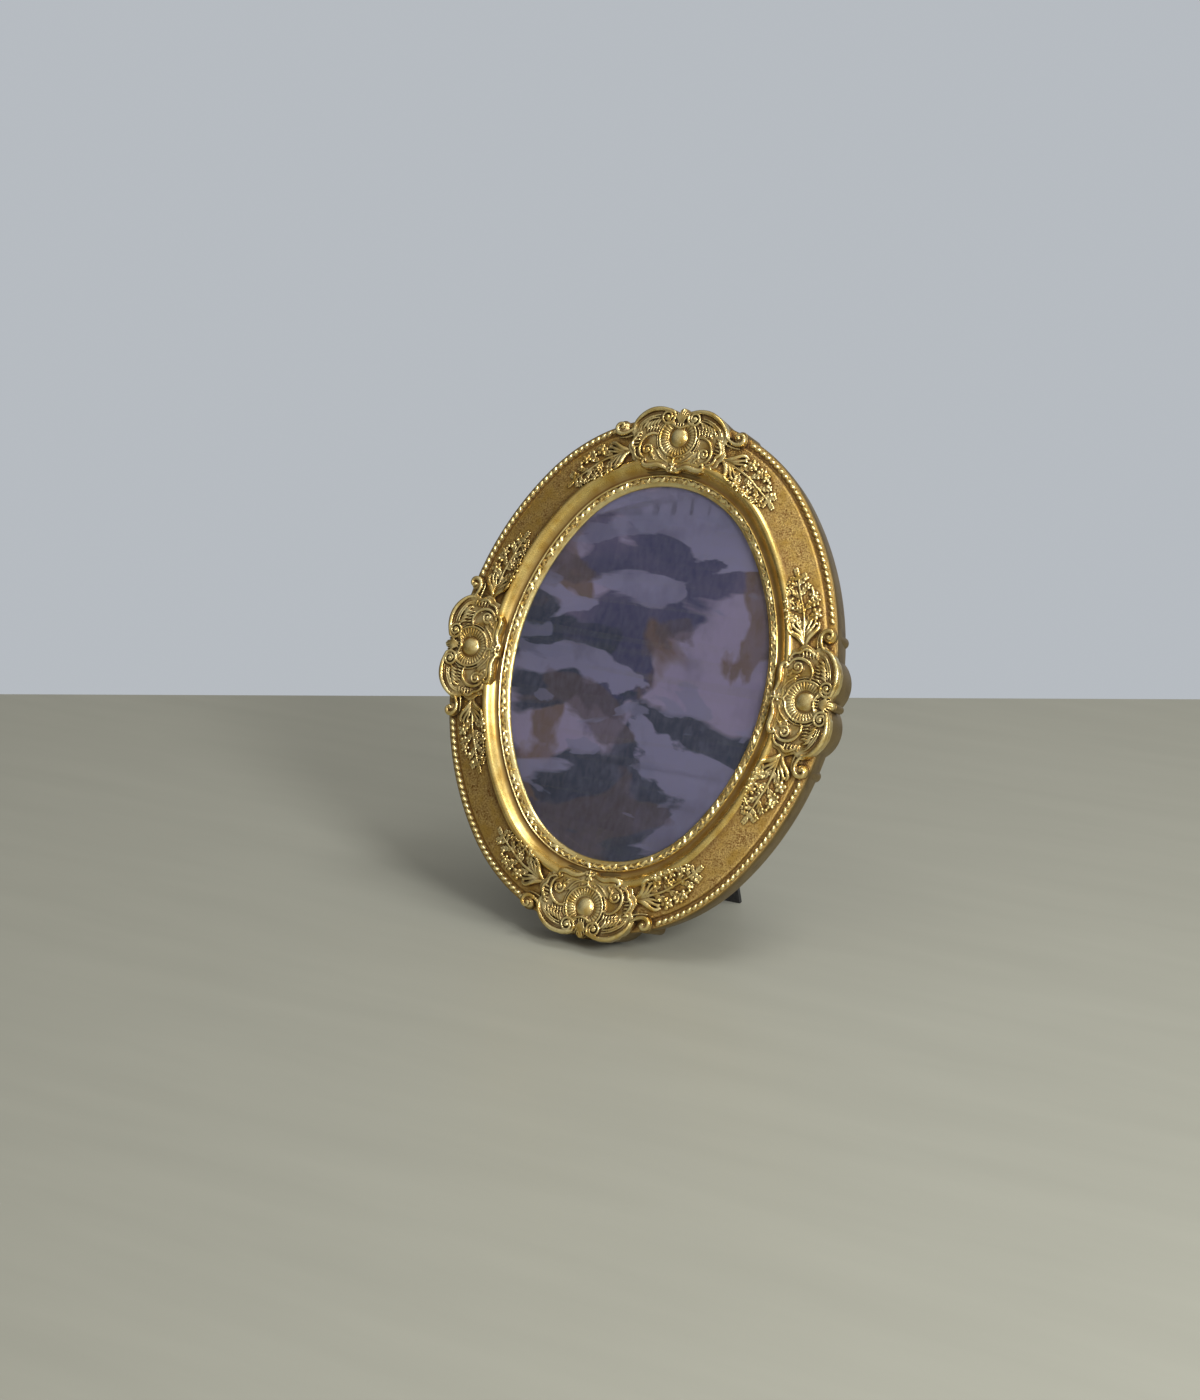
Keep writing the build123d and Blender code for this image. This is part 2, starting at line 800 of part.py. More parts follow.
def laid_flat():
    """Every piece of the frame, by name, before it is stood up."""
    carving = cartouche()
    pieces = {"frame_moulding": frame_moulding(carving)}
    for name, (run, start, end) in rope_runs().items():
        pieces[name] = rope_stretch(run, start, end)
    for name, place in cartouche_places().items():
        pieces["cartouche_" + name] = place * carving
    pieces.update(sprays())
    pieces["glass_pane"] = oval_board(sight_cover, 0, glass_thickness)
    pieces["picture_print"] = oval_board(sight_cover, print_face, print_thickness)
    pieces["backing_card"] = oval_board(sight_cover, card_face, card_thickness)
    panel = oval_board(sight_cover, panel_face, panel_thickness)
    pieces["back_panel"] = panel - rivet_shanks(panel_rivet_height, panel_face, panel_rear)
    pieces["hinge_fixed_leaf"] = hinge_fixed_leaf()
    pieces["hinge_pin"] = hinge_pin()
    pieces["hinge_panel_rivets"] = rivets(panel_rivet_height, panel_face, panel_rear - leaf_thickness)
    pieces["hinge_strut_leaf"] = opened(hinge_strut_leaf()) + stop_tabs()
    strut_rear = strut_face - strut_thickness
    pieces["hinge_strut_rivets"] = opened(rivets(strut_rivet_height, strut_leaf_face, strut_rear))
    pieces["easel_strut"] = easel_strut()
    for index, place in enumerate(screw_places(0)):
        pieces[f"turn_button_{index + 1}"] = Pos(0, 0, -ledge) * place * turn_button()
    screws = [(Pos(0, 0, -ledge) * place * screw(head_face)).solid() for place in screw_places(0)]
    pieces["turn_button_screws"] = Compound(children=screws)
    pieces["hanger_strap"] = hanger_strap()
    pieces["hanger_screw"] = hanger_screw()
    pieces["hanger_ring"] = hanger_ring()
    return pieces


def stand_up(pieces):
    """Leans the frame back on its strut, and puts zero under the middle of its box."""
    tilt = Rot(right_angle - lean_angle, 0, 0)
    leaned = {name: tilt * piece for name, piece in pieces.items()}
    boxes = [piece.bounding_box() for piece in leaned.values()]
    middle = (min(box.min.Y for box in boxes) + max(box.max.Y for box in boxes)) / 2
    shift = Pos(0, -middle, -floor_height)
    return {name: shift * piece for name, piece in leaned.items()}


os.makedirs("parts", exist_ok=True)
for node, piece in stand_up(laid_flat()).items():
    export_step(piece, f"parts/{node}.step")
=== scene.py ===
import math

import bpy
from mathutils import Matrix, Vector


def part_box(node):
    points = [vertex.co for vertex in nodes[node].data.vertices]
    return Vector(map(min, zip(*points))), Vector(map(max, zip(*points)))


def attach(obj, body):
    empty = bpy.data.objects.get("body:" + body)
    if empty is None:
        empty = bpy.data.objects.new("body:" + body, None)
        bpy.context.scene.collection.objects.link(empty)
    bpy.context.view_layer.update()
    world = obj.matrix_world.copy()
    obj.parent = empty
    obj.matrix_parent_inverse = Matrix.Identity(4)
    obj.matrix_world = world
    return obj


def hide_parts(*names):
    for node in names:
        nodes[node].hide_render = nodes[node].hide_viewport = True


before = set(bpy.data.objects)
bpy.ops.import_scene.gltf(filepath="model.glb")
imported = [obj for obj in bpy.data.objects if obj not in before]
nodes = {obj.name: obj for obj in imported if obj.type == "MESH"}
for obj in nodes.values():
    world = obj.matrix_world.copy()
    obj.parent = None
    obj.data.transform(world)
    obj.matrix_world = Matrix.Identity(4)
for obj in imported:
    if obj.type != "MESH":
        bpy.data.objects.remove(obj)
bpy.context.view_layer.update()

scene = bpy.context.scene
scene.view_settings.view_transform = "Standard"

# The moulding
# One oval ring of lime wood, turned to a section and covered with gesso, red clay
# and leaf. A smooth lip holds the glass, then come the seat of the leaf band, a fine
# fillet, a burnished cove, the crest, a broad speckled panel and the rope's seat.
half_width, half_height = 86.5, 116.5
end_radius = 70.0
end_centre = half_height - end_radius
side_radius = (half_width**2 + half_height**2 - 2 * half_height * end_radius) / (
    2 * (half_width - end_radius))
side_centre = side_radius - half_width
side_turn = math.atan2(end_centre, side_centre)
end_turn = math.pi - 2 * side_turn
lean = math.radians(23.5)
millimetre, pane_half = 0.001, 0.001
rabbet_run, recess_run, wall_run = 4.25, 35.5, 44.3
fillet_run, crest_run, wall_edge_run, back_edge_run = 6.3, 17.8, 43.8, 41.3
ledge, moulding_back = -7.3, -19.0
# The section is a list of points (run, rise), in millimetres: the run goes outwards
# from the sight edge, and the rise goes forwards from the front of the glass.
front_section = [
    (0.0, 0.0), (0.2, 0.8), (0.9, 1.5), (1.9, 2.0), (2.7, 2.3), (3.0, 2.1), (4.3, 1.9), (5.5, 2.1),
    (5.8, 2.6), (6.1, 3.3), (6.5, 3.6), (6.9, 3.3), (7.2, 2.8), (7.9, 2.6), (8.8, 2.8), (9.8, 3.3),
    (10.8, 4.2), (11.8, 5.4), (12.7, 6.6), (13.5, 7.35), (14.4, 7.8), (15.3, 7.9), (16.2, 7.6),
    (17.0, 6.9), (17.6, 6.1), (18.2, 5.5), (19.0, 5.2), (22.0, 4.7), (26.0, 4.05), (30.0, 3.4),
    (34.0, 2.8), (36.6, 2.5), (37.4, 2.3), (37.9, 1.8), (38.3, 1.1), (38.9, 0.9), (43.6, 0.9),
    (44.1, 0.6), (wall_run, 0.0)]
back_section = [
    (44.2, -3.0), (43.8, -6.5), (43.3, -10.0), (42.7, -13.5), (42.2, -16.5), (41.7, -18.5),
    (41.1, moulding_back), (36.1, moulding_back), (recess_run, -18.4), (recess_run, ledge),
    (rabbet_run, ledge), (rabbet_run, 0.0)]


def pick(*pieces):
    """Selects these pieces alone, the first of them active."""
    bpy.ops.object.select_all(action="DESELECT")
    for piece in pieces:
        piece.select_set(True)
    bpy.context.view_layer.objects.active = pieces[0]


def settle(*pieces):
    """Applies the place, turn and size of these pieces to their meshes."""
    pick(*pieces)
    bpy.ops.object.transform_apply(location=True, rotation=True, scale=True)


def new_piece(name, points, edges, faces):
    """A mesh from plain points, on the bench."""
    mesh = bpy.data.meshes.new(name)
    mesh.from_pydata(points, edges, faces)
    piece = bpy.data.objects.new(name, mesh)
    scene.collection.objects.link(piece)
    return piece


def spun(name, points, edges, arcs, gap):
    """A section swept through one arc after another, closed, with its faces outwards."""
    piece = new_piece(name, points, edges, [])
    pick(piece)
    bpy.ops.object.mode_set(mode="EDIT")
    bpy.ops.mesh.select_all(action="SELECT")
    for centre, turn, count in arcs:
        bpy.ops.mesh.spin(steps=count, angle=turn, center=(*centre, 0), axis=(0, 0, 1))
    bpy.ops.mesh.select_all(action="SELECT")
    bpy.ops.mesh.remove_doubles(threshold=gap)
    bpy.ops.mesh.normals_make_consistent(inside=False)
    bpy.ops.object.mode_set(mode="OBJECT")
    return piece


def run_round(section, name, side_steps=100, end_steps=84):
    """Turns a closed section round the oval's four arcs, as on an oval lathe."""
    start = Vector((math.cos(-side_turn), math.sin(-side_turn), 0))
    origin = Vector((-side_centre, 0, 0))
    points = [origin + start * (side_radius + run) + Vector((0, 0, rise)) for run, rise in section]
    edges = [(index, (index + 1) % len(section)) for index in range(len(section))]
    arcs = [((-side_centre, 0), -2 * side_turn, side_steps), ((0, end_centre), -end_turn, end_steps),
            ((side_centre, 0), -2 * side_turn, side_steps), ((0, -end_centre), -end_turn, end_steps)]
    return spun(name, points, edges, arcs, 0.01)


def oval_spot(run, travel):
    """The point and the outward angle at a distance travelled anticlockwise from the right."""
    arcs = [(-side_centre, 0, side_radius, -side_turn, 2 * side_turn),
            (0, end_centre, end_radius, side_turn, end_turn),
            (side_centre, 0, side_radius, math.pi - side_turn, 2 * side_turn),
            (0, -end_centre, end_radius, math.pi + side_turn, end_turn)]
    lengths = [turn * (radius + run) for _, _, radius, _, turn in arcs]
    travel = (travel + lengths[0] / 2) % sum(lengths)
    for (x, y, radius, start, turn), length in zip(arcs, lengths):
        if travel <= length:
            break
        travel -= length
    reach = radius + run
    angle = start + travel / reach
    return x + reach * math.cos(angle), y + reach * math.sin(angle), angle


def oval_length(run):
    """The length of the oval at a distance outside the sight edge."""
    return 2 * math.pi * run + 4 * side_turn * side_radius + 2 * end_turn * end_radius


def run_at(x, y):
    """How far outside the sight edge a point lies."""
    x, y = abs(x), abs(y)
    if math.atan2(y, x + side_centre) <= side_turn:
        return math.hypot(x + side_centre, y) - side_radius
    return math.hypot(x, y - end_centre) - end_radius


glass_low, glass_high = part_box("glass_pane")
glass_middle = (glass_low + glass_high) / 2
leaning = (Matrix.Translation((0, glass_middle.y - pane_half * math.cos(lean),
                               glass_middle.z + pane_half * math.sin(lean)))
           @ Matrix.Rotation(math.pi / 2 - lean, 4, "X") @ Matrix.Scale(millimetre, 4))


def stand_up(piece, body, slot, *replaced):
    """Takes a piece from the flat bench, in millimetres, to its place in the leaning frame."""
    piece.matrix_world = leaning @ piece.matrix_world
    settle(piece)
    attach(piece, body)
    if replaced:
        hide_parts(*replaced)


def smooth(piece, degrees=35):
    """Smooth shading that keeps the sharp edges."""
    pick(piece)
    bpy.ops.object.shade_smooth_by_angle(angle=math.radians(degrees))


def lay(piece, *finishes):
    """Gives a piece these finishes, in place of any that it had."""
    piece.data.materials.clear()
    for finish in finishes:
        piece.data.materials.append(finish)


def link(tree, source, target):
    """Joins two sockets."""
    tree.links.new(source, target)


def node(tree, kind, **settings):
    """A shader node with its settings."""
    made = tree.nodes.new(kind)
    for key, value in settings.items():
        setattr(made, key, value)
    return made


def preset(made, **numbers):
    """Sets sockets of a node by their names, with _ for a blank."""
    for name, number in numbers.items():
        made.inputs[name.replace("_", " ")].default_value = number


def new_finish(name):
    """A new material of nodes, with its tree and its surface."""
    made = bpy.data.materials.new(name)
    made.use_nodes = True
    return made, made.node_tree, made.node_tree.nodes["Principled BSDF"]


def pattern(tree, scale, detail, stretch=(1, 1, 1)):
    """A cloudy pattern of the given scale per metre, read in object coordinates."""
    place = node(tree, "ShaderNodeTexCoord")
    turn = node(tree, "ShaderNodeMapping")
    cloud = node(tree, "ShaderNodeTexNoise")
    preset(turn, Scale=stretch)
    preset(cloud, Scale=scale, Detail=detail)
    link(tree, place.outputs["Object"], turn.inputs["Vector"])
    link(tree, turn.outputs["Vector"], cloud.inputs["Vector"])
    return cloud.outputs["Fac"]


def spread(tree, value, low, high, to_low=0.0, to_high=1.0):
    """Stretches a value from one range to another, and stops at its ends."""
    made = node(tree, "ShaderNodeMapRange")
    preset(made, From_Min=low, From_Max=high, To_Min=to_low, To_Max=to_high)
    link(tree, value, made.inputs["Value"])
    return made.outputs["Result"]


def times(tree, one, two, how="MULTIPLY"):
    """Two values multiplied, or put together another way."""
    made = node(tree, "ShaderNodeMath", operation=how)
    for value, socket in ((one, made.inputs[0]), (two, made.inputs[1])):
        if isinstance(value, (int, float)):
            socket.default_value = value
        else:
            link(tree, value, socket)
    return made.outputs[0]


def blend(tree, one, two, share):
    """Two patterns added, the first with this share of the whole."""
    return times(tree, times(tree, one, share), times(tree, two, round(1 - share, 3)), "ADD")


def mixed(tree, share, one, two):
    """One colour passing into another by a share."""
    made = node(tree, "ShaderNodeMix", data_type="RGBA")
    factor, first, second = made.inputs[0], made.inputs[6], made.inputs[7]
    link(tree, share, factor)
    for value, socket in ((one, first), (two, second)):
        if isinstance(value, tuple):
            socket.default_value = (*value, 1)
        else:
            link(tree, value, socket)
    return made.outputs[2]


def emboss(tree, skin, height, strength, depth):
    """Raises a surface by a pattern, to a depth in metres."""
    bump = node(tree, "ShaderNodeBump")
    preset(bump, Strength=strength, Distance=depth)
    link(tree, height, bump.inputs["Height"])
    link(tree, bump.outputs["Normal"], skin.inputs["Normal"])


def gilding(name, leaf, pale, clay, wash, wear, gloss, grain, sand, alone=False, reach=0.003):
    """Leaf over red clay: mottled, rubbed thin in places, with red clay and a dark wash left in the hollows,
    partly real and partly painted shade, painted shade where other pieces lie close unless alone, and a
    painted highlight on raised edges.
    """
    made, tree, skin = new_finish(name)
    clouds = pattern(tree, 110, 8)
    specks = pattern(tree, sand, 4)
    fine = pattern(tree, 3400, 2)
    colour = mixed(tree, spread(tree, clouds, 0.36, 0.64), leaf, pale)
    thin = spread(tree, blend(tree, specks, clouds, 0.6), 0.52 - 0.08 * wear, 0.64)
    colour = mixed(tree, times(tree, thin, wear), colour, clay)
    # The occlusion and the pointiness find hollows, creases and, unless alone, the spots where other pieces
    # lie close, to darken them as painted shade.
    shade = node(tree, "ShaderNodeAmbientOcclusion", samples=6, only_local=alone)
    preset(shade, Distance=reach)
    open_sky = shade.outputs["AO"]
    edge = node(tree, "ShaderNodeNewGeometry").outputs["Pointiness"]
    grooved = spread(tree, edge, 0.45, 0.499, 1.0, 0.0)
    clay_and_shade = times(tree, spread(tree, open_sky, 0.55, 0.98, 1.0, 0.0), grooved, "MAXIMUM")
    wash_and_shade = times(tree, spread(tree, open_sky, 0.30, 0.80, 1.0, 0.0), times(tree, grooved, 0.85), "MAXIMUM")
    # Clay, then the dark wash colour, go into those hollows: partly a real wash and clay, partly painted
    # shade.
    colour = mixed(tree, times(tree, clay_and_shade, 0.85), colour, clay)
    colour = mixed(tree, wash_and_shade, colour, wash)
    # Raised edges are lightened towards the pale colour: a painted highlight.
    raised = spread(tree, edge, 0.51, 0.57)
    colour = mixed(tree, times(tree, raised, 0.65), colour, pale)
    link(tree, colour, skin.inputs["Base Color"])
    link(tree, spread(tree, wash_and_shade, 0.0, 1.0, 1.0, 0.35), skin.inputs["Metallic"])
    even = spread(tree, fine, 0.3, 0.7, gloss - 0.07, gloss + 0.1)
    link(tree, times(tree, even, times(tree, wash_and_shade, 0.25), "ADD"), skin.inputs["Roughness"])
    emboss(tree, skin, times(tree, specks, times(tree, fine, 0.6), "ADD"), grain, 0.0003)
    return made


# Every gilded finish has painted shade in its hollows and a painted highlight on its raised edges.
burnished = gilding("burnished leaf", (0.59, 0.375, 0.088), (0.84, 0.64, 0.23), (0.30, 0.145, 0.03),
                    (0.08, 0.035, 0.008), wear=0.3, gloss=0.24, grain=0.10, sand=1300, alone=True)
speckled = gilding("speckled panel", (0.51, 0.32, 0.078), (0.76, 0.55, 0.205), (0.20, 0.08, 0.018),
                   (0.06, 0.03, 0.008), wear=1.0, gloss=0.32, grain=1.3, sand=1050)
# The outer wall's gold is made far darker than the face's: painted shade.
shaded_wall = gilding("outer wall in painted shade", (0.19, 0.125, 0.045), (0.31, 0.22, 0.085), (0.10, 0.052, 0.015),
                     (0.05, 0.03, 0.012), wear=0.35, gloss=0.42, grain=0.35, sand=1600)
carved = gilding("leaf on carving", (0.60, 0.39, 0.088), (1.0, 0.85, 0.415), (0.28, 0.125, 0.027),
                 (0.035, 0.015, 0.003), wear=0.25, gloss=0.165, grain=0.35, sand=1300, reach=0.005)


def grained(name, dark, light, rough, scale, depth, stretch=(1, 1, 1)):
    """A matt board or wood: a grain of one direction, finer fibres in it, and uneven stain."""
    made, tree, skin = new_finish(name)
    grain = pattern(tree, scale, 6, stretch)
    fibre = pattern(tree, scale * 5, 3, stretch)
    share = blend(tree, grain, fibre, 0.7)
    stain = mixed(tree, spread(tree, pattern(tree, 22, 4), 0.35, 0.65, 0, 0.45), light, dark)
    link(tree, mixed(tree, spread(tree, share, 0.38, 0.62), dark, stain), skin.inputs["Base Color"])
    link(tree, spread(tree, share, 0.3, 0.7, rough + 0.08, rough - 0.08), skin.inputs["Roughness"])
    emboss(tree, skin, share, depth, 0.0002)
    return made


bare_back = grained("bare lime wood", (0.16, 0.095, 0.048), (0.42, 0.29, 0.165),
                    rough=0.6, scale=260, depth=0.3, stretch=(0.12, 1, 1))
ring_finishes = (burnished, speckled, shaded_wall, carved, bare_back)


def ring_finish(run, rise):
    """The finish of the ring at a spot of its section."""
    if rise < ledge + 0.1 and run < back_edge_run or run < rabbet_run + 0.15 and rise < -0.1:
        return bare_back
    # The outer wall takes the darker gold of painted shade.
    if run > wall_edge_run or rise < ledge / 3:
        return shaded_wall
    if run > crest_run:
        return speckled
    return carved if run < fillet_run else burnished


moulding = run_round(front_section + back_section, "moulding")
lay(moulding, *ring_finishes)
for face in moulding.data.polygons:
    spot = face.center
    face.material_index = ring_finishes.index(ring_finish(run_at(spot.x, spot.y), spot.z))

# The swellings
# Blocks glued to the ring under the cartouches before the gesso went on: two broad
# humps, a small rib at each end and one in the middle, all carried down the outer
# wall, and hollow behind like the ring.
hump_across, hump_out, hump_radius, hump_foot = 13.2, 27.3, 21.3, 19.4
knuckle_across, knuckle_out, knuckle_radius, knuckle_in = 40.5, 35.6, 4.2, 1.6
rib_out, rib_low, rib_radius, rib_taper = 46.15, -10.0, 2.9, 0.86
block_top, block_back = 3.2, moulding_back + 0.05
drop_turn = math.radians(-0.996)
cartouche_spots = {
    "top": (0, half_height, 0),
    "left": (-half_width, 0, math.pi / 2),
    "bottom": (0, -half_height, math.pi),
    "right": (side_radius * math.cos(drop_turn) - side_centre,
              side_radius * math.sin(drop_turn), drop_turn - math.pi / 2)}


def clear_choice():
    """Deselects everything before a new piece is added."""
    bpy.ops.object.select_all(action="DESELECT")


def modify(piece, kind, **settings):
    """Adds a modifier with these settings and applies it."""
    pick(piece)
    bpy.ops.object.modifier_add(type=kind)
    added = piece.modifiers[-1]
    for key, value in settings.items():
        setattr(added, key, value)
    bpy.ops.object.modifier_apply(modifier=added.name)


def cone(x, y, low, high, low_radius, high_radius, sides=72):
    """A tapered round block, its edge eased."""
    clear_choice()
    bpy.ops.mesh.primitive_cone_add(vertices=sides, radius1=low_radius, radius2=high_radius,
                                    depth=high - low, location=(x, y, (low + high) / 2))
    made = bpy.context.object
    settle(made)
    modify(made, "BEVEL", width=0.7, segments=3)
    return made


def join(pieces, name):
    """Makes one piece of several."""
    pick(*pieces)
    bpy.ops.object.join()
    pieces[0].name = pieces[0].data.name = name
    return pieces[0]


def cut(piece, tool, how="DIFFERENCE"):
    """Cuts one piece with another, and takes the tool away."""
    modify(piece, "BOOLEAN", operation=how, solver="EXACT", object=tool)
    bpy.data.objects.remove(tool)


def copy_of(unit, name):
    """A copy of a piece with its own mesh."""
    made = unit.copy()
    made.data = unit.data.copy()
    made.name = made.data.name = name
    scene.collection.objects.link(made)
    return made


def set_at(x, y, turn, rise=0):
    """The place of a piece that is moved on the bench and turned flat on it."""
    return Matrix.Translation((x, y, rise)) @ Matrix.Rotation(turn, 4, "Z")


cutter_top, cutter_foot, cutter_in, cutter_out = ledge + 0.4, moulding_back - 2, -60, recess_run + 0.4
recess = run_round([(cutter_in, cutter_top), (cutter_out, cutter_top), (cutter_out, cutter_foot),
                    (cutter_in, cutter_foot)], "recess cutter", 40, 40)
blocks = []
for side, (x, y, turn) in cartouche_spots.items():
    block, other_hump = (cone(across, hump_out, block_back, block_top, hump_foot, hump_radius)
                         for across in (hump_across, -hump_across))
    cut(block, other_hump, "UNION")
    parts = [block]
    # on the tighter curve at the top and bottom the knuckles sit further in
    knuckle_there = knuckle_out - (0 if side in ("left", "right") else knuckle_in)
    for across, out, low, radius in ((knuckle_across, knuckle_there, block_back, knuckle_radius),
                                     (-knuckle_across, knuckle_there, block_back, knuckle_radius),
                                     (0, rib_out, rib_low, rib_radius)):
        parts.append(cone(across, out, low, block_top, radius * rib_taper, radius, 32))
    block = join(parts, "block " + side)
    block.matrix_world = set_at(x, y, turn)
    settle(block)
    cut(block, copy_of(recess, "recess cutter"))
    lay(block, *ring_finishes)
    # The blocks' faces take the outer wall's darker gold of painted shade, their backs bare wood.
    for face in block.data.polygons:
        behind = face.normal.z < -0.7 and face.center.z < moulding_back + 1
        face.material_index = ring_finishes.index(bare_back if behind else shaded_wall)
    blocks.append(block)
bpy.data.objects.remove(recess)
moulding = join([moulding, *blocks], "moulding")
smooth(moulding)
stand_up(moulding, "frame", "gilded_moulding", "frame_moulding")

# The leaf band
# A narrow band of small slanted leaves pressed in composition round the sight edge,
# between the lip and the fillet, gilded bright so that it sparkles all round.
band_run, band_seat, band_pitch, band_play = 4.25, 1.95, 5.0, 0.30
leaf_half_length, leaf_height, leaf_depth = 2.35, 1.25, 0.4


def band_leaf():
    """One little leaf with a raised rib, from a plain grid."""
    clear_choice()
    bpy.ops.mesh.primitive_grid_add(x_subdivisions=4, y_subdivisions=2, size=2)
    made = bpy.context.object
    for vertex in made.data.vertices:
        x, y = vertex.co.x, vertex.co.y
        half = 1.15 * math.sqrt(max(0.0, 1 - ((x + 0.15) / 1.15) ** 2)) * (1 - 0.25 * x)
        vertex.co = (x * leaf_half_length + 0.5 * y * y, y * half * 0.95,
                     leaf_height * (1 - 0.8 * y * y) * (1 - 0.4 * x * x))
    bpy.ops.object.mode_set(mode="EDIT")
    bpy.ops.mesh.select_all(action="SELECT")
    bpy.ops.mesh.extrude_region_move(TRANSFORM_OT_translate={"value": (0, 0, 0)})
    bpy.ops.transform.resize(value=(1, 1, 0), center_override=(0, 0, -leaf_depth))
    bpy.ops.mesh.select_all(action="SELECT")
    bpy.ops.mesh.normals_make_consistent(inside=False)
    bpy.ops.object.mode_set(mode="OBJECT")
    return made


def ring_of(unit, run, seat, travels, turn, name, play=0.0):
    """Copies of one unit set round the oval, each along the moulding, joined as one piece."""
    points, faces = [], []
    shape = [vertex.co.copy() for vertex in unit.data.vertices]
    for index, travel in enumerate(travels):
        x, y, angle = oval_spot(run, travel)
        sway, roll, grow = (play * math.sin(index * step) for step in (2.4, 5.1, 3.7))
        place = (set_at(x, y, angle + math.pi / 2 + turn + sway, seat)
                 @ Matrix.Rotation(1.5 * roll, 4, "X") @ Matrix.Scale(1 + 0.5 * grow, 4))
        first = len(points)
        points += [place @ point for point in shape]
        faces += [[first + corner for corner in face.vertices] for face in unit.data.polygons]
    return new_piece(name, points, [], faces)


leaf_unit = band_leaf()
rows = []
for run, turn, share, size in ((3.9, 36, 0.0, 1.0), (4.8, -30, 0.5, 0.88)):
    count = round(oval_length(band_run) / band_pitch)
    travels = [oval_length(run) * (index + share) / count for index in range(count)]
    leaf_unit.data.transform(Matrix.Scale(size, 4))
    rows.append(ring_of(leaf_unit, run, band_seat, travels, math.radians(turn), "leaf_row", band_play))
bpy.data.objects.remove(leaf_unit)
leaf_band = join(rows, "leaf_band")
lay(leaf_band, carved)
smooth(leaf_band, 50)
stand_up(leaf_band, "frame", "gilded_carving")

# The rope edge
# Four stretches of rope moulding, cast in strips and laid on the seat at the outer
# edge between the cartouches: slanted strands, each rounded and pinched at its ends.
rope_run, rope_seat, rope_pitch, rope_clear, strand_length = 41.4, 0.9, 4.25, 46.3, 3.7
right_drop = 2.5


def rope_strand():
    """One slanted strand of the rope."""
    clear_choice()
    bpy.ops.mesh.primitive_uv_sphere_add(segments=12, ring_count=8, radius=1)
    made = bpy.context.object
    for vertex in made.data.vertices:
        x, y, z = vertex.co
        vertex.co = (2.05 * x + 0.9 * y, 1.75 * y, 0.2 + 1.95 * z * (1 - 0.3 * y * y))
    return made


strand = rope_strand()
quarter = oval_length(rope_run) / 4
for index, (name, start_more, end_more) in enumerate((
        ("top_right", -right_drop, 0), ("top_left", 0, 0),
        ("bottom_left", 0, 0), ("bottom_right", 0, -right_drop))):
    start = quarter * index + rope_clear + start_more
    end = quarter * (index + 1) - rope_clear + end_more
    count = int((end - start - strand_length) / rope_pitch) + 1
    first = start + (end - start - (count - 1) * rope_pitch) / 2
    travels = [first + rope_pitch * step for step in range(count)]
    rope = ring_of(strand, rope_run, rope_seat, travels, 0, "rope_edge_" + name)
    lay(rope, carved)
    smooth(rope, 60)
    stand_up(rope, "frame", "gilded_carving", "rope_" + name)
bpy.data.objects.remove(strand)

# The cartouches
# Four castings of composition, pressed in one mould and glued over the swellings: a
# scalloped ground, a fluted shell round a polished boss, two great scrolls that end in
# volutes, small inner scrolls, crinkled rims and a hooked scroll at each end.


def strand_curve(points, halves, sides=2, fine=6):
    """A carved strand through points (across, out, rise), with its half width at each."""
    curve = bpy.data.curves.new("strand", "CURVE")
    curve.dimensions = "3D"
    curve.bevel_depth = 1.0
    curve.bevel_resolution = sides
    curve.resolution_u = curve.render_resolution_u = fine
    curve.use_fill_caps = True
    spline = curve.splines.new("NURBS")
    spline.points.add(len(points) - 1)
    for knot, point, half in zip(spline.points, points, halves):
        knot.co = (*point, 1)
        knot.radius = half
    spline.order_u = 4
    spline.use_endpoint_u = True
    made = bpy.data.objects.new("strand", curve)
    scene.collection.objects.link(made)
    return made


def both(points, halves, **more):
    """The same strand on both sides of the middle."""
    other = [(-x, y, z) for x, y, z in points]
    return [strand_curve(points, halves, **more), strand_curve(other, halves, **more)]


def taper(count, start, middle, end):
    """Half widths that swell from one end to the middle and fall to the other end."""
    shares = [index / (count - 1) for index in range(count)]
    return [start * (1 - s) ** 2 + 2 * middle * s * (1 - s) + end * s**2 for s in shares]


def coil(across, out, rise, first_radius, last_radius, start, sweep, count, lift=0.0):
    """Points of a spiral, or of an arc where its radius stays, rising a little to its end."""
    points = []
    for index in range(count):
        share = index / (count - 1)
        radius = first_radius + (last_radius - first_radius) * share
        turn = math.radians(start + sweep * share)
        points.append((across + radius * math.cos(turn), out + radius * math.sin(turn), rise + lift * share))
    return points


def mound(across, out, rise, width, length, height, turn=0.0, sides=(20, 12)):
    """A rounded boss, berry or bud."""
    clear_choice()
    bpy.ops.mesh.primitive_uv_sphere_add(segments=sides[0], ring_count=sides[1], radius=1)
    made = bpy.context.object
    made.matrix_world = set_at(across, out, turn, rise) @ Matrix.Diagonal((width, length, height, 1))
    return made


def both_mounds(across, *more):
    """The same mound on both sides of the middle."""
    return [mound(side * across, *more) for side in (1, -1)]


def flat_form(name, loops, extrude, ease, rise):
    """A flat plate with an eased edge, filled between its closed loops of points."""
    curve = bpy.data.curves.new(name, "CURVE")
    curve.dimensions, curve.fill_mode = "2D", "BOTH"
    curve.extrude, curve.bevel_depth, curve.bevel_resolution = extrude, ease, 2
    for loop in loops:
        spline = curve.splines.new("POLY")
        spline.points.add(len(loop) - 1)
        for knot, (x, y) in zip(spline.points, loop):
            knot.co = (x, y, 0, 1)
        spline.use_cyclic_u = True
    made = bpy.data.objects.new(name, curve)
    made.location.z = rise
    scene.collection.objects.link(made)
    return made


def ground_plate(outline, low, high, ease):
    """A flat casting, from the outline of its right half."""
    other = [(-x, y) for x, y in reversed(outline) if x > 0]
    return flat_form("plate", [outline + other], (high - low) / 2 - ease, ease, (high + low) / 2)


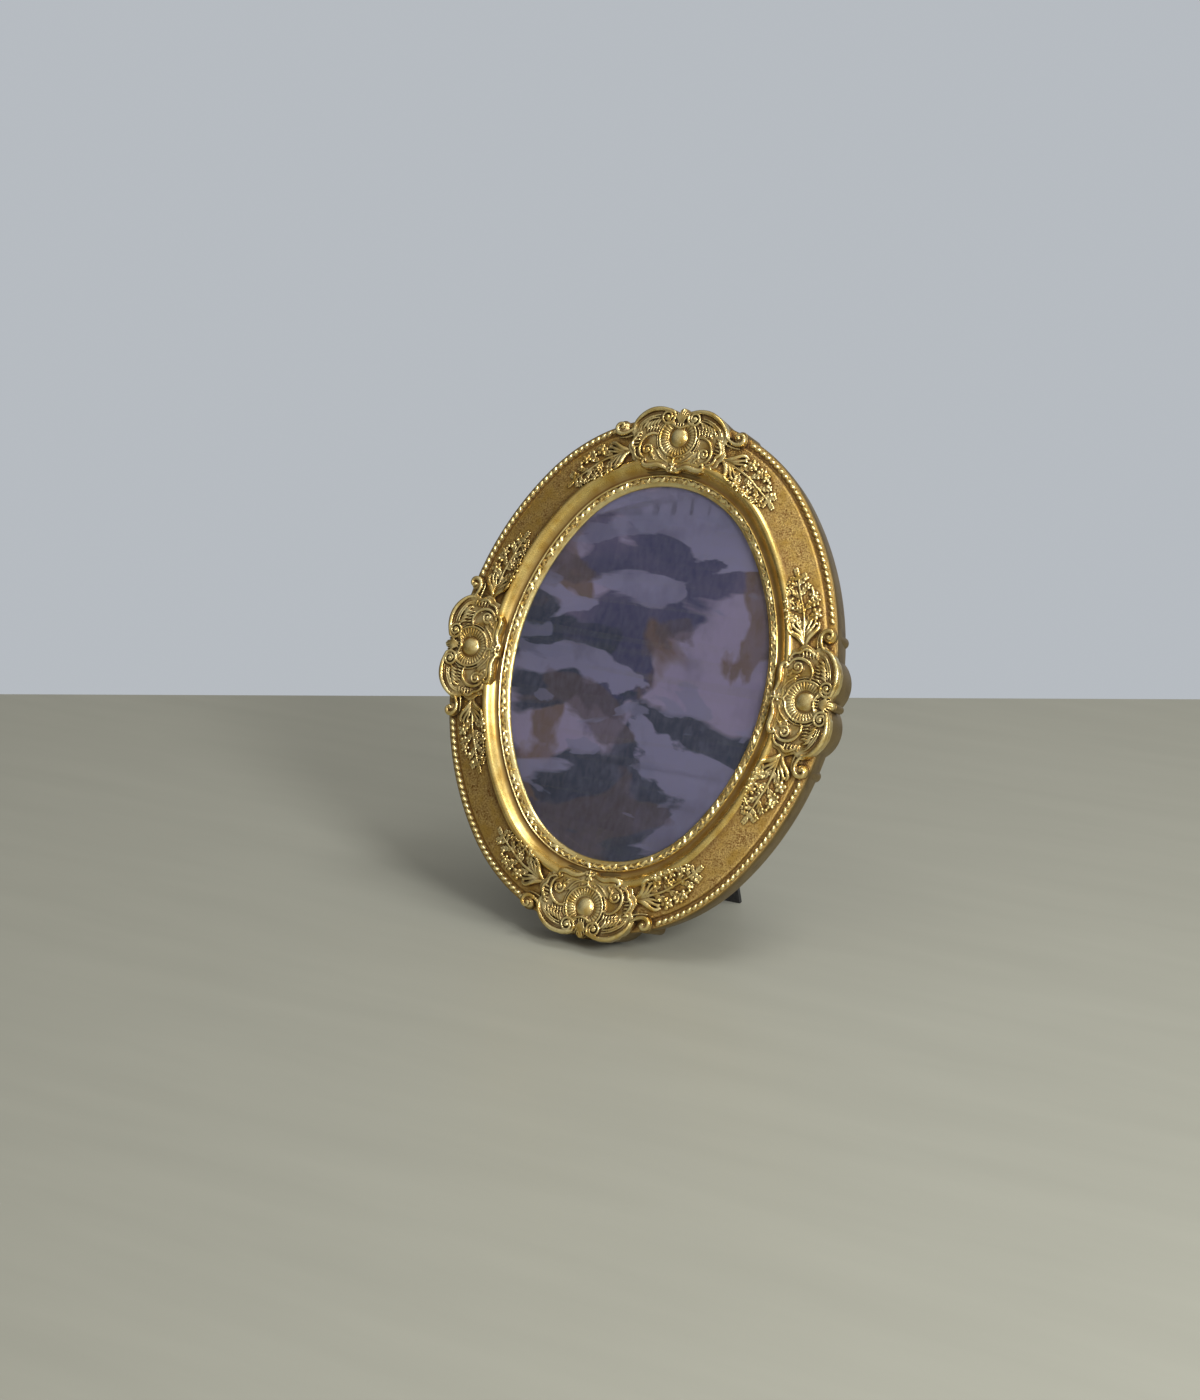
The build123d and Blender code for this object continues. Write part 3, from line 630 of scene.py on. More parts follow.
def fuse(pieces, name, grain):
    """Runs the forms together as one casting, with soft fillets where they meet."""
    pick(*pieces)
    bpy.ops.object.convert(target="MESH")
    bpy.ops.object.transform_apply(location=True, rotation=True, scale=True)
    made = join(bpy.context.selected_objects[:], name)
    modify(made, "REMESH", mode="VOXEL", voxel_size=grain)
    modify(made, "SMOOTH", factor=0.5, iterations=1)
    lay(made, carved)
    return made


half_outline = [
    (0, 8.4), (3.4, 8.8), (5.2, 10.4), (9, 10.6), (14, 9.6), (18, 9.4), (21.4, 10.8), (22.6, 13.0),
    (25.8, 13.6), (28.8, 15.6), (29.8, 18.8), (32.0, 20.6), (33.2, 23.8), (31.6, 27.0), (30.6, 29.6),
    (32.6, 32.6), (33.4, 35.4), (31.6, 38.8), (28.4, 42.4), (24.2, 45.6), (19.2, 47.8), (13.6, 48.2),
    (8.8, 47.4), (4.8, 45.4), (0, 44.6)]
foot_outline = half_outline[:9] + [(25.0, 15.6), (24.0, 18.0), (18.0, 20.0), (11.0, 21.6), (0, 21.6)]
forms = [ground_plate(half_outline, 1.2, 6.5, 0.8), ground_plate(foot_outline, 2.0, 7.7, 0.6)]
# the great scrolls, reeded: a broad band, two fine lines inside it, and the volute
scroll = [(31.6, 33.0, 6.2), (32.2, 37.0, 6.6), (29.8, 40.6, 7.1), (26.0, 44.0, 7.5), (21.0, 46.6, 7.8),
          (15.6, 47.4, 7.9), (10.6, 47.1, 7.9), (6.4, 45.8, 7.8)]
volute_across, volute_out = 9.2, 42.4
volute = coil(volute_across, volute_out, 7.8, 5.0, 0.7, 140, 700, 28, 0.8)
forms += both(scroll + volute, [0.5, 1.0, 1.35, 1.6, 1.7, 1.6, 1.35, 1.15] + taper(28, 1.0, 0.75, 0.5))
for inset, half in ((2.6, 0.75), (4.2, 0.6)):
    across, out = inset * 0.8, inset * 0.5
    line = [(31.0 - across, 33.4, 6.4), (30.6 - across, 37.0, 6.9), (27.6 - across, 40.6 - out, 7.4),
            (23.6 - out, 43.6 - across, 7.8), (18.6 - inset * 0.2, 45.4 - inset * 0.9, 7.9),
            (14.6, 46.0 - inset, 7.7)]
    forms += both(line, taper(6, 0.3, half * 1.5, 0.3))
# leafy filling inside the scrolls, and the eyes of their volutes
for index in range(5):
    x, y = 13.2 + 2.3 * index, 41.6 - 0.7 * index
    forms += both([(x - 0.6, y, 7.0), (x + 1.6, y - 1.6, 7.7), (x + 2.9, y - 4.0, 7.4),
                   (x + 2.4, y - 6.4 + 0.3 * index, 6.6)], taper(4, 0.45, 1.6, 0.35))
forms += both_mounds(volute_across, volute_out, 8.3, 1.3, 1.3, 1.2)
# the hooked scrolls at the ends
hook = [(30.0, 36.8, 6.2), (33.0, 33.8, 6.4), (36.4, 31.8, 6.2), (40.2, 31.4, 6.0), (43.4, 33.2, 5.9),
        (44.2, 36.4, 5.9), (42.2, 38.8, 6.1), (39.4, 38.2, 6.4), (38.8, 36.2, 6.7)]
forms += both(hook, [0.5, 0.9, 1.2, 1.45, 1.65, 1.6, 1.3, 1.0, 0.8])
forms += both_mounds(39.9, 36.0, 6.0, 1.5, 1.5, 1.5)
forms += both_mounds(knuckle_across, knuckle_out - 0.4, 3.0, 4.6, 4.6, 3.0)
forms += both([(31.0, 31.2, 5.6), (34.4, 29.6, 5.6), (38.2, 29.0, 5.2), (41.6, 29.8, 4.6)],
              taper(4, 0.5, 0.9, 0.3))
# the shell: a double horseshoe rim, its flutes and the polished boss in a fine ring
shell_out = 30.0
rim = coil(0, shell_out, 7.9, 12.5, 12.5, 58, -140, 14)
forms += both([(9.4, 41.2, 7.4)] + rim[:-1] + [(0.9, 17.8, 8.0), (0.3, 15.8, 8.1)], [0.4] + [0.72] * 15)
forms += both(coil(0, shell_out, 7.2, 14.3, 14.3, 40, -112, 10), taper(10, 0.3, 0.75, 0.3))
flutes = 29
for index in range(flutes):
    turn = math.radians(62 - 304 * index / (flutes - 1))
    points = [(radius * math.cos(turn), shell_out + radius * math.sin(turn), rise)
              for radius, rise in ((7.4, 6.9), (9.2, 7.9), (11.4, 7.2))]
    forms.append(strand_curve(points, [0.4, 0.84, 0.98], 2, 4))
forms.append(mound(0, 30.2, 5.4, 6.3, 7.0, 3.7, 0, (40, 24)))
forms.append(strand_curve(coil(0, 30.1, 6.7, 7.3, 7.3, 120, 300, 22), [0.5] * 22))
# cup and fan over the shell
forms += both([(7.0, 39.4, 7.6), (4.8, 37.2, 8.1), (2.4, 36.2, 8.3), (0, 36.0, 8.4)], [0.5, 0.75, 0.75, 0.75])
for index in range(-2, 3):
    forms.append(strand_curve([(index * 1.5, 35.4, 7.2), (index * 1.7, 37.6, 8.0), (index * 1.9, 39.0, 7.6)],
                              [0.35, 0.6, 0.35], 2, 4))
for index in range(-3, 4):
    points = [(index * 0.40, 38.8, 7.4), (index * 0.75, 42.0, 8.5),
              (index * 1.25, 45.8 - abs(index) * 0.7, 8.3), (index * 1.85, 48.4 - abs(index) * 1.1, 6.6)]
    forms.append(strand_curve(points, taper(4, 0.4, 0.85, 0.35)))
forms.append(mound(0, 46.2, 5.2, 2.7, 2.7, 2.4))
# stem and flower at the foot
flower_out, petals = 11.0, 5
forms.append(strand_curve([(0, 17.4, 8.2), (0, 15.4, 8.5), (0, 13.2, 8.4), (0, 10.4, 8.2)],
                          [0.8, 0.7, 0.7, 0.9]))
for index in range(petals):
    turn = math.radians(126 + 72 * index)
    forms.append(mound(2.1 * math.cos(turn), flower_out + 2.1 * math.sin(turn), 8.2,
                       1.5, 0.85, 0.9, turn, (12, 8)))
forms.append(mound(0, flower_out, 8.7, 0.9, 0.9, 0.8, 0, (12, 8)))
# two rolled scrolls along the foot, lying over the cove, and beads above them
forms += both([(2.2, 9.2, 7.4), (5.2, 10.8, 8.0), (9.6, 12.4, 8.2), (14.0, 11.2, 8.0), (18.2, 10.6, 7.8),
               (21.2, 12.4, 8.0), (20.8, 14.8, 8.4), (18.6, 15.0, 8.7), (18.2, 13.6, 8.8)],
              [0.6, 1.3, 1.75, 1.9, 1.9, 1.5, 1.1, 0.8, 0.6])
forms += both([(4.2, 14.2, 7.8), (7.6, 15.4, 8.2), (10.8, 18.0, 8.0), (12.8, 21.0, 7.6), (15.2, 22.8, 7.0)],
              taper(5, 0.3, 1.1, 0.3))
for x, y in ((4.4, 16.6), (6.2, 18.0), (5.0, 14.6), (15.2, 15.4), (16.6, 17.0), (14.0, 17.6),
             (7.4, 20.0), (12.6, 15.0)):
    forms += both_mounds(x, y, 7.5, 0.75, 0.75, 0.7, 0, (8, 6))
# inner scrolls with small volutes
arc = [(12.8, 30.4, 7.0), (15.6, 32.0, 7.5), (19.4, 31.4, 7.8), (23.0, 28.6, 7.9), (25.0, 24.2, 7.9),
       (24.8, 19.6, 8.0), (22.4, 16.4, 8.0), (19.4, 15.6, 8.1)]
forms += both(arc, taper(8, 0.6, 1.7, 0.6))
curl_across, curl_out = 19.6, 21.2
curl = coil(curl_across, curl_out, 7.5, 3.8, 0.6, -130, -540, 22, 0.8)
forms += both([(13.6, 15.2, 8.0), (14.4, 17.6, 7.8)] + curl, [0.6, 0.9] + taper(22, 1.15, 0.8, 0.5))
forms += both_mounds(curl_across, curl_out, 8.1, 0.95, 0.95, 0.9, 0, (12, 8))
# crinkled shellwork outside them, and combs of short teeth
crinkle = [(27.4, 32.4, 6.6), (28.4, 29.4, 7.0), (31.0, 26.4, 7.2), (30.8, 22.8, 7.3), (27.6, 21.0, 7.5),
           (28.0, 17.8, 7.6), (25.2, 15.4, 7.9), (22.2, 15.0, 8.0)]
forms += both(crinkle, taper(8, 0.7, 1.5, 0.6))
for index in range(5):
    y = 32.0 - 2.2 * index
    forms += both([(26.0, y, 6.8), (27.9, y - 0.2, 7.6), (29.6 + 0.25 * index, y - 0.6, 6.9)],
                  [0.5, 0.85, 0.4], fine=4)
for index in range(5):
    x = 13.4 + 2.0 * index
    forms += both([(x, 36.4 - 0.2 * index, 6.9), (x + 0.3, 34.9 - 0.3 * index, 7.6),
                   (x + 0.8, 33.2 - 0.3 * index, 6.9)], [0.45, 0.8, 0.35], fine=4)

# laid while soft, so the castings at the top and bottom follow the tighter curve there
bend_share, cartouche_grain = 0.9, 0.332
end_bend = (1 / (end_radius + wall_run) - 1 / (side_radius + wall_run)) / 2 * bend_share
casting = fuse(forms, "casting", cartouche_grain)
smooth(casting, 80)
for side, (x, y, turn) in cartouche_spots.items():
    piece = copy_of(casting, "carved_cartouche_" + side)
    if side in ("top", "bottom"):
        for vertex in piece.data.vertices:
            vertex.co.y -= end_bend * vertex.co.x ** 2
    piece.matrix_world = set_at(x, y, turn)
    stand_up(piece, "frame", "gilded_carving", "cartouche_" + side)
bpy.data.objects.remove(casting)

# The floral sprays
# Eight sprays of pressed composition, two beside each cartouche, laid while soft along
# the middle of the panel: a forked root, ribbed leaves, flowers, berries and a lobed tip.
spray_start, spray_run = 31.0, 25.0
leaf_rise, bloom_rise, sprig_grain = 0.5, 0.9, 0.27


def ribbed_leaf(x, y, turn, length, bend, lobes):
    """A leaf of a curved midrib with pairs of small lobes."""
    turn, bend = math.radians(turn), math.radians(bend)
    rib = []
    for index in range(5):
        share = index / 4
        way = turn + bend * share
        rib.append((x + length * share * math.cos(way), y + length * share * math.sin(way),
                    leaf_rise + 0.5 * share * (1 - share)))
    made = [strand_curve(rib, taper(5, 0.6, 0.85, 0.25), 1, 4)]
    for index in range(lobes):
        share = (index + 0.8) / (lobes + 0.6)
        way = turn + bend * share
        root_x, root_y = x + length * share * math.cos(way), y + length * share * math.sin(way)
        size = length * 0.34 * math.sin(math.pi * (0.16 + 0.72 * share))
        for hand in (1, -1):
            out = way + bend * 0.5 + hand * math.radians(46)
            tip = out - hand * 0.25
            made.append(strand_curve(
                [(root_x, root_y, leaf_rise),
                 (root_x + size * 0.5 * math.cos(out), root_y + size * 0.5 * math.sin(out), leaf_rise + 0.25),
                 (root_x + size * math.cos(tip), root_y + size * math.sin(tip), leaf_rise - 0.1)],
                [0.55, 0.98, 0.4], 1, 3))
    return made


def flower(x, y, radius, spin):
    """An open flower of five petals with a round eye."""
    made = [mound(x, y, bloom_rise + 0.8, radius * 0.36, radius * 0.36, 0.9, 0, (8, 6))]
    for index in range(petals):
        turn = spin + 2 * math.pi * index / petals
        made.append(mound(x + radius * 0.62 * math.cos(turn), y + radius * 0.62 * math.sin(turn), bloom_rise,
                          radius * 0.46, radius * 0.37, 1.15, turn, (10, 6)))
    return made


sprig = [strand_curve([(0, 0, 0.5), (9, 0.8, 1.0), (20, -1.0, 1.0), (32, 1.0, 1.0), (43, 0, 0.8),
                       (48, 0.4, 0.4)], [1.0, 1.0, 0.85, 0.75, 0.6, 0.4], 2, 8)]
for hand in (1, -1):
    for inset, half in ((0, 1.5), (2.3, 1.0), (4.1, 0.7)):
        sprig.append(strand_curve(
            [(0.4 + inset, 0.3 * hand, 0.5), (4.0 + inset, 1.0 * hand, 1.2),
             (7.8 + inset, (3.6 - 0.4 * inset) * hand, 1.6), (9.8 + inset, (7.6 - inset) * hand, 1.5),
             (13.0 + inset, (9.6 - inset) * hand, 1.1), (15.6 + inset * 0.6, (8.6 - inset) * hand, 0.6)],
            [0.5, half, half * 1.2, half, half * 0.85, 0.35], 2, 6))
# each leaf: its root, turn, length, bend and pairs of lobes
for leaf in ((12, 0.4, 26, 13, 18, 5), (13, -0.2, -28, 12, -18, 5), (21, -0.8, 40, 11.5, 16, 4),
             (23, -0.4, -42, 11.5, -18, 4), (20, -0.8, 8, 11, 14, 4), (30, 0.6, 22, 10, 22, 4),
             (31.5, 0.8, -26, 9.6, -20, 4), (38, 0.4, 40, 8, 18, 3), (38.6, 0.4, -40, 7.6, -18, 3),
             (41.5, 0, 3, 8.4, 0, 4), (42, 0, 46, 6, 20, 3), (42, 0, -44, 6, -20, 3)):
    sprig += ribbed_leaf(*leaf)
# each flower: its middle, radius and spin
for bloom in ((19.0, 7.6, 3.9, 0), (20.0, -7.6, 3.7, 0.4), (31.2, -7.2, 3.1, 0), (30.0, 7.4, 3.2, 0.3),
              (26.0, 2.8, 2.4, 0.2), (38.0, 5.8, 2.2, 0)):
    sprig += flower(*bloom)
for x, y in ((24.0, 8.6), (25.4, 6.2), (25.2, -6.6), (14.4, -7.0), (34.6, 4.6), (36.0, -4.8), (13.6, 6.4),
             (25.6, -9.0), (16.0, 4.2), (15.8, -4.0), (27.8, -4.0), (34.4, 7.4), (35.2, -7.0), (40.8, 4.0),
             (41.4, -3.6), (24.4, 10.4)):
    sprig.append(mound(x, y, bloom_rise, 1.3, 1.3, 1.25, 0, (8, 6)))
casting = fuse(sprig, "sprig", sprig_grain)
flat_points = [vertex.co.copy() for vertex in casting.data.vertices]


def panel_rise(run):
    """The height of the moulding's face at a run."""
    for (one, low), (two, high) in zip(front_section, front_section[1:]):
        if one <= run <= two:
            return low + (high - low) * (run - one) / (two - one)
    return front_section[-1][1]


round_length = oval_length(spray_run)
middles = {"right": drop_turn * side_radius, "top": round_length / 4, "left": round_length / 2,
           "bottom": round_length * 3 / 4}
for side, middle in middles.items():
    for name, hand in (("anticlockwise", 1), ("clockwise", -1)):
        piece = copy_of(casting, f"floral_spray_{side}_{name}")
        for vertex, (along, aside, rise) in zip(piece.data.vertices, flat_points):
            x, y, angle = oval_spot(spray_run, middle + hand * (spray_start + along))
            vertex.co = (x - aside * math.cos(angle), y - aside * math.sin(angle),
                         panel_rise(spray_run - aside) + rise)
        if hand < 0:
            piece.data.flip_normals()
        smooth(piece, 80)
        stand_up(piece, "frame", "gilded_carving", f"spray_{side}_{name}")
bpy.data.objects.remove(casting)

# The glass
# A pane of clear picture glass, cut to the oval and dropped into the rabbet from behind,
# with the faint smears that a cloth leaves on it.


def plain(name, colour, rough):
    """A material with a start colour."""
    made, tree, skin = new_finish(name)
    preset(skin, Base_Color=(*colour, 1), Roughness=rough)
    return made, tree, skin


def dress(name, finish):
    """Puts a finish on a carried-over piece."""
    lay(nodes[name], finish)


glass, tree, skin = plain("picture glass", (0.97, 0.98, 0.98), 0.03)
smears = pattern(tree, 35, 4, (1, 1, 0.4))
link(tree, spread(tree, smears, 0.4, 0.7, 0.015, 0.045), skin.inputs["Roughness"])
preset(skin, Transmission_Weight=1.0, IOR=1.45)
dress("glass_pane", glass)

# The picture
# A print on matt paper of an abstract wash: brushed patches of slate, lilac, clay and ink
# laid over each other at a slant, each with its own firm edge.
paper, tree, skin = plain("printed wash", (0.2, 0.18, 0.25), 0.6)
bristle = pattern(tree, 300, 3, (1, 1, 0.25))
worked = blend(tree, pattern(tree, 22, 3), pattern(tree, 150, 4, (1, 1, 0.5)), 0.8)


def patch(under, scale, stretch, turn, low, high, strength, colour, shift):
    """One layer of paint: where a bent cloud passes a level, its colour covers what lies under."""
    place = node(tree, "ShaderNodeTexCoord")
    turned_place = node(tree, "ShaderNodeMapping")
    cloud = node(tree, "ShaderNodeTexNoise")
    preset(turned_place, Location=(shift, shift * 0.7, shift * 1.3), Rotation=turn, Scale=stretch)
    preset(cloud, Scale=scale, Detail=5, Roughness=0.44, Distortion=0.45)
    link(tree, place.outputs["Object"], turned_place.inputs["Vector"])
    link(tree, turned_place.outputs["Vector"], cloud.inputs["Vector"])
    covers = spread(tree, cloud.outputs["Fac"], low, high)
    share = times(tree, covers, spread(tree, worked, 0.32, 0.50, 0.35, strength))
    return mixed(tree, share, under, colour)


colour = mixed(tree, spread(tree, pattern(tree, 9, 3), 0.42, 0.58),
               (0.095, 0.10, 0.235), (0.26, 0.215, 0.39))
# each layer: scale, stretch, turn, lower and upper level, strength, colour and shift
for layer in ((8, (1.0, 1.0, 2.0), (0.2, 0.75, 0), 0.500, 0.520, 1.0, (0.50, 0.43, 0.66), 0.3),
              (9, (1.3, 1.0, 1.0), (0, -0.6, 0.3), 0.530, 0.550, 0.9, (0.25, 0.16, 0.13), 1.1),
              (9, (1.0, 1.0, 1.5), (0.4, 0.3, 0), 0.525, 0.545, 0.95, (0.042, 0.065, 0.125), 2.3),
              (13, (1.0, 1.0, 2.4), (0, 0.9, 0), 0.550, 0.570, 0.9, (0.42, 0.40, 0.64), 3.4),
              (12, (1.0, 1.0, 1.8), (0, -0.4, 0.5), 0.560, 0.585, 0.8, (0.16, 0.12, 0.15), 4.2),
              (21, (1.0, 1.0, 2.6), (0, 0.5, 0.2), 0.590, 0.610, 0.7, (0.34, 0.34, 0.56), 5.6)):
    colour = patch(colour, *layer)
streaked = times(tree, spread(tree, bristle, 0.35, 0.75), 0.2)
link(tree, mixed(tree, streaked, colour, (0.40, 0.36, 0.52)), skin.inputs["Base Color"])
emboss(tree, skin, bristle, 0.15, 0.0001)
dress("picture_print", paper)

# The back panel and the strut
# Grey card behind the print, then a back panel and an easel strut of black covered
# board, its paper pressed with a fine grain and a little worn.
grey_card = grained("grey card", (0.30, 0.275, 0.235), (0.46, 0.43, 0.375), rough=0.8, scale=900, depth=0.2)
black_board = grained("black covered board", (0.010, 0.010, 0.011), (0.034, 0.033, 0.033),
                      rough=0.52, scale=750, depth=0.5)
dress("backing_card", grey_card)
for name in ("back_panel", "easel_strut"):
    dress(name, black_board)

# The hinge
# Two stamped leaves of zinc plated steel on a plain pin, each held by two rivets
# with low domed heads; tabs on the strut's leaf stop it when it stands open.
hinge_height, hinge_rise, strut_opening = 45.0, -9.2, math.radians(30)
rivet_across, lathe_steps = 16, 28
rivet_section = [(0, -0.9), (0.8, -0.84), (1.5, -0.66), (2.05, -0.36), (2.33, -0.12), (2.4, 0), (0, 0)]


def plated(name, dark, light, rough):
    """Plated steel: cloudy plating with fine scratches along it."""
    made, tree, skin = new_finish(name)
    preset(skin, Metallic=1.0)
    clouds = pattern(tree, 260, 6)
    scratches = pattern(tree, 2600, 3, (0.08, 1, 1))
    link(tree, mixed(tree, spread(tree, clouds, 0.36, 0.64), dark, light), skin.inputs["Base Color"])
    uneven = spread(tree, blend(tree, clouds, scratches, 0.5), 0.35, 0.65, rough - 0.08, rough + 0.12)
    link(tree, uneven, skin.inputs["Roughness"])
    emboss(tree, skin, scratches, 0.12, 0.00005)
    return made


def turned(section, name):
    """A small head turned on a lathe, from half its section (radius, rise)."""
    edges = [(index, index + 1) for index in range(len(section) - 1)]
    points = [(radius, 0, rise) for radius, rise in section]
    return spun(name, points, edges, [((0, 0), 2 * math.pi, lathe_steps)], 0.005)


def copies(unit, places, name):
    """Copies of one piece at the given places, joined."""
    made = []
    for place in places:
        made.append(copy_of(unit, name))
        made[-1].matrix_world = place
    settle(*made)
    bpy.data.objects.remove(unit)
    return join(made, name)


zinc = plated("zinc plated steel", (0.47, 0.475, 0.47), (0.63, 0.63, 0.61), 0.34)
for name in ("hinge_fixed_leaf", "hinge_strut_leaf", "hinge_pin"):
    dress(name, zinc)
open_strut = (Matrix.Translation((0, hinge_height, hinge_rise)) @ Matrix.Rotation(strut_opening, 4, "X")
              @ Matrix.Translation((0, -hinge_height, -hinge_rise)))
for name, body, height, rise, swing in (("hinge_panel_rivets", "frame", 56.0, -8.1, Matrix()),
                                        ("hinge_strut_rivets", "strut", 34.0, -11.5, open_strut)):
    places = [swing @ Matrix.Translation((across, height, rise)) for across in (-rivet_across, rivet_across)]
    heads = copies(turned(rivet_section, "rivet"), places, name.replace("hinge", "domed"))
    lay(heads, zinc)
    smooth(heads, 40)
    stand_up(heads, body, "steel", name)

# The turn buttons
# Six stamped steel tongues that turn by hand over the panel's edge, each under the
# slotted pan head of a wood screw driven into the ledge.
button_run, button_count = 11.6, 6
button_end, button_tip, button_half, button_round, button_ease = 3.9, -15.1, 4.0, 2.2, 0.1
hole_radius, hole_sides, corner_steps = 1.72, 24, 6
button_middle, head_rise = -7.75, -8.5
collar_section = [(hole_radius, -7.9), (hole_radius, -8.3), (1.85, -8.4), (3.0, -8.4), (3.35, -8.25),
                  (3.5, -7.9), (hole_radius, -7.9)]
screw_section = [(0, -1.4), (1.1, -1.36), (2.0, -1.16), (2.6, -0.8), (2.86, -0.36), (2.9, 0), (0, 0)]
button_spots = [oval_spot(button_run, oval_length(0) * index / button_count)
                for index in range(button_count)]


def pressed_button():
    """A stamped tongue with a hole, a raised collar round it and a pressed rib along it."""
    outline = []
    corner = button_round - button_ease
    for x, y, start in ((button_end, 1, 0), (button_tip, 1, 90),
                        (button_tip, -1, 180), (button_end, -1, 270)):
        middle = x - math.copysign(button_round, x)
        for step in range(corner_steps + 1):
            turn = math.radians(start + 90 * step / corner_steps)
            outline.append((middle + corner * math.cos(turn),
                            y * (button_half - button_round) + corner * math.sin(turn)))
    hole = [(hole_radius * math.cos(2 * math.pi * step / hole_sides),
             hole_radius * math.sin(2 * math.pi * step / hole_sides)) for step in range(hole_sides)]
    pick(flat_form("tongue", [outline, hole], 0.25, button_ease, button_middle))
    bpy.ops.object.convert(target="MESH")
    tongue = bpy.context.object
    collar = turned(collar_section, "collar")
    rib = mound(-9.4, 0, -8.02, 4.3, 1.25, 0.38, 0, (24, 12))
    made = join([tongue, collar, rib], "pressed_button")
    settle(made)
    lay(made, zinc)
    smooth(made, 30)
    return made


def slotted(name):
    """A pan head with its driver slot."""
    head = turned(screw_section, name)
    clear_choice()
    bpy.ops.mesh.primitive_cube_add(size=1, location=(0, 0, -1.3), scale=(7, 0.75, 1.1))
    cut(head, bpy.context.object)
    return head


button = pressed_button()
for number, (x, y, angle) in enumerate(button_spots, 1):
    piece = copy_of(button, f"pressed_button_{number}")
    piece.matrix_world = set_at(x, y, angle)
    stand_up(piece, f"button_{number}", "steel", f"turn_button_{number}")
bpy.data.objects.remove(button)
places = [set_at(x, y, 0.7 + 1.9 * index, head_rise) for index, (x, y, _) in enumerate(button_spots)]
screws = copies(slotted("screw"), places, "slotted_screws")
lay(screws, zinc)
smooth(screws, 40)
stand_up(screws, "frame", "steel", "turn_button_screws")

# The hanging ring
# A D of bent brass wire in a rolled brass strap, screwed to the ledge above the panel,
# so that the frame can hang on a wall with its strut folded.
strap_height, strap_rise, strap_screw_height, strap_screw_rise = 127.0, -9.4, 138.5, -8.1
wire_half, bar_half_length = 0.95, 7.5
brass = plated("brass plated steel", (0.56, 0.37, 0.13), (0.74, 0.54, 0.23), 0.28)
dress("hanger_strap", brass)
screw_head = copies(slotted("strap screw"), [set_at(0, strap_screw_height, 0.4, strap_screw_rise)],
                    "slotted_strap_screw")
lay(screw_head, brass)
smooth(screw_head, 40)
stand_up(screw_head, "frame", "brass", "hanger_screw")
bend = [(bar_half_length, 0), (7.6, -2.4), (7.5, -5.2), (6.6, -8.4), (4.2, -11.2), (0, -12.7)]
bend += [(-x, y) for x, y in reversed(bend[:-1])]
wire = strand_curve([(x, y, 0) for x, y in bend], [wire_half] * len(bend), 4, 12)
bar = strand_curve([(x, 0, 0) for x in (-bar_half_length, -3, 3, bar_half_length)], [wire_half] * 4, 4, 4)
pick(wire, bar)
bpy.ops.object.convert(target="MESH")
wire = join([wire, bar], "brass_d_ring")
wire.matrix_world = Matrix.Translation((0, strap_height, strap_rise)) @ Matrix.Rotation(lean, 4, "X")
lay(wire, brass)
smooth(wire, 60)
stand_up(wire, "ring", "brass", "hanger_ring")

# The table and the light
# A pale table top and soft studio lamps, with the camera where it stood for the photograph.
clear_choice()
bpy.ops.mesh.primitive_plane_add(size=1, location=(0, 0, 0))
table = bpy.context.object
table.name = "table_top"
table.scale = (7.0, 4.0, 1)
table.rotation_euler.z = 0.5
table.location = (0.74, -1.32, 0)
settle(table)
top, tree, skin = plain("table top", (0.36, 0.355, 0.30), 0.32)
streaks = spread(tree, pattern(tree, 5, 4, (1, 7, 1)), 0.3, 0.7)
link(tree, mixed(tree, streaks, (0.335, 0.335, 0.28), (0.355, 0.355, 0.297)), skin.inputs["Base Color"])
link(tree, spread(tree, pattern(tree, 12, 3), 0.3, 0.7, 0.45, 0.50), skin.inputs["Roughness"])
lay(table, top)

world = bpy.data.worlds.new("studio")
scene.world = world
world.use_nodes = True
tree = world.node_tree
sky = tree.nodes["Background"]
way = node(tree, "ShaderNodeTexCoord").outputs["Generated"]


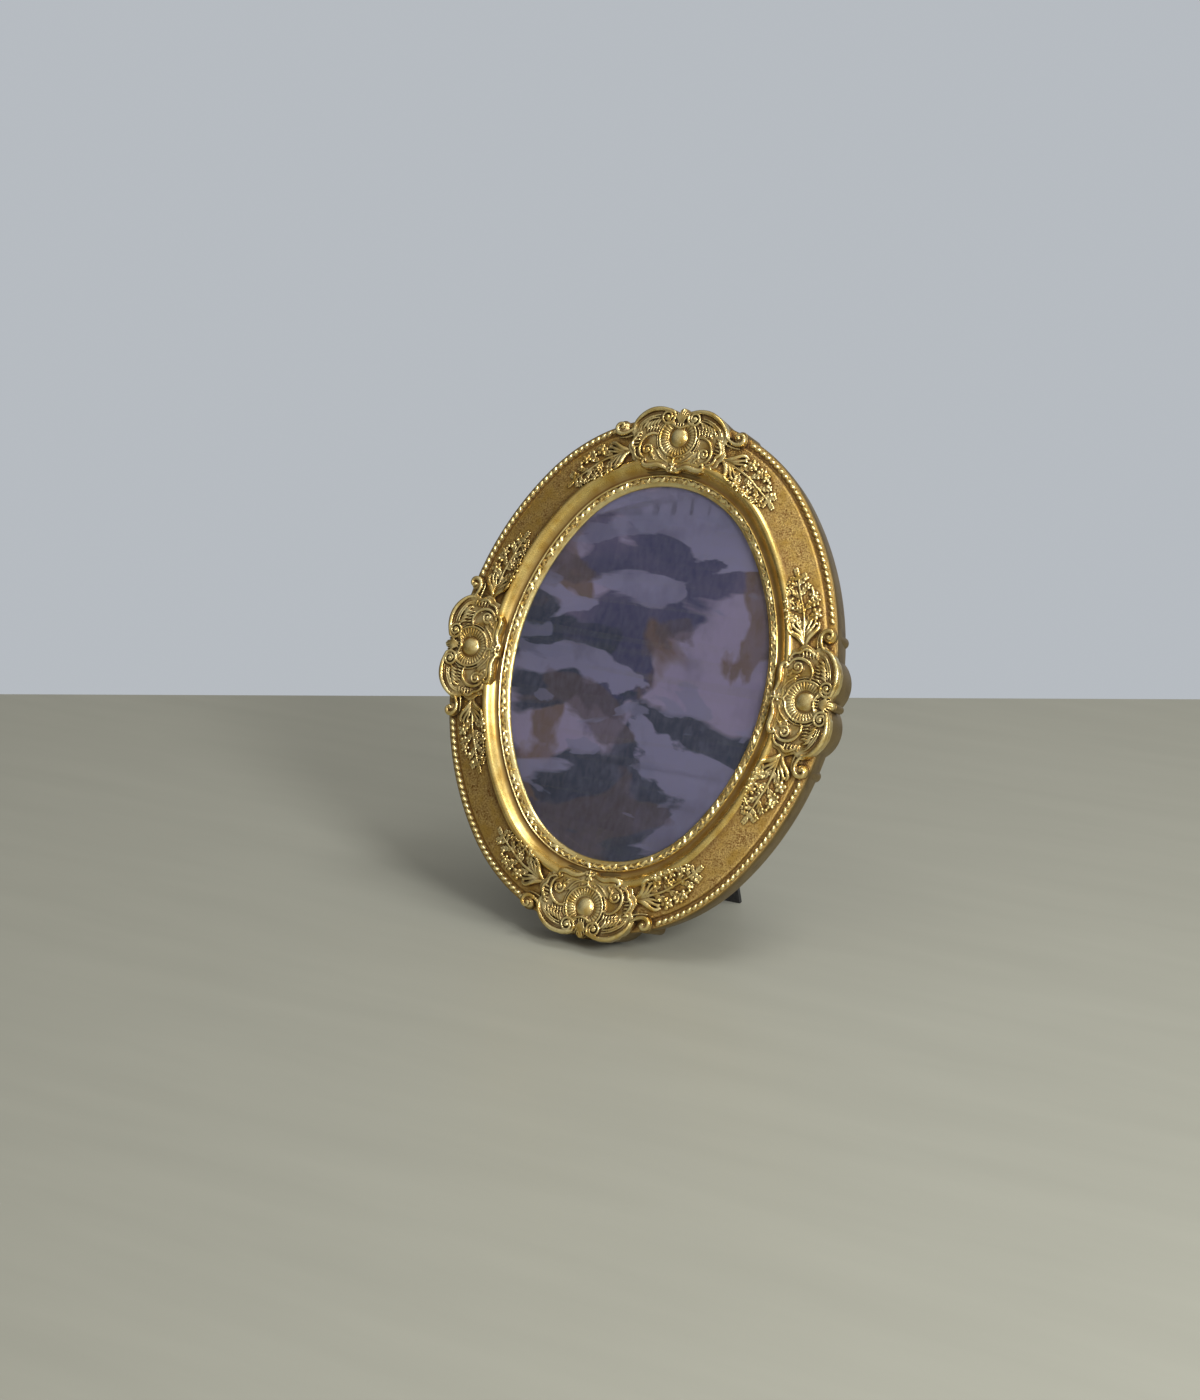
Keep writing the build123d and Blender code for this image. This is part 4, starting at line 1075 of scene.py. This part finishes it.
def facing(direction):
    """How far the way looked along points in a direction."""
    made = node(tree, "ShaderNodeVectorMath", operation="DOT_PRODUCT")
    link(tree, way, made.inputs[0])
    made.inputs[1].default_value = direction
    return made.outputs["Value"]


bright_side = facing(Vector((0.80, -0.30, 0.52)).normalized())
room = mixed(tree, spread(tree, bright_side, -0.5, 0.95), (0.10, 0.10, 0.105), (0.80, 0.78, 0.74))
split = node(tree, "ShaderNodeSeparateXYZ")
link(tree, way, split.inputs[0])
low_down = spread(tree, split.outputs["Z"], 0.0, 0.3, 1, 0)
wall = times(tree, spread(tree, facing((-0.49, 0.87, 0)), 0.62, 0.88), low_down)
link(tree, mixed(tree, wall, room, (0.47, 0.50, 0.535)), sky.inputs["Color"])
preset(sky, Strength=1.0)
frame_middle = Vector((0, 0, 0.15))


def lamp(name, place, size, power):
    """A soft box aimed at the middle of the frame."""
    data = bpy.data.lights.new(name, "AREA")
    data.shape, data.size, data.size_y, data.energy = "RECTANGLE", size[0], size[1], power
    made = bpy.data.objects.new(name, data)
    made.location = place
    made.rotation_euler = (frame_middle - Vector(place)).to_track_quat("-Z", "Y").to_euler()
    scene.collection.objects.link(made)


lamp("key", (1.30, -0.80, 0.95), (0.42, 0.55), 19)
lamp("top", (0.5, 0.1, 1.5), (0.6, 0.4), 6)

yaw, pitch = 0.51529209, 0.28287547
aside, above, away = 0.022543, 0.016778, 1.52955
focal_pixels, picture_pixels, sensor = 2500, 1400, 24
ahead = Vector((-math.sin(yaw) * math.cos(pitch), math.cos(yaw) * math.cos(pitch), -math.sin(pitch)))
right = Vector((math.cos(yaw), math.sin(yaw), 0))
upward = right.cross(ahead)
camera_data = bpy.data.cameras.new("camera")
camera_data.sensor_fit = "VERTICAL"
camera_data.sensor_height = sensor
camera_data.lens = sensor * focal_pixels / picture_pixels
camera = bpy.data.objects.new("camera", camera_data)
camera.location = leaning.translation - (right * aside + upward * above + ahead * away)
camera.rotation_euler = (math.pi / 2 - pitch, 0, yaw)
scene.collection.objects.link(camera)
scene.camera = camera
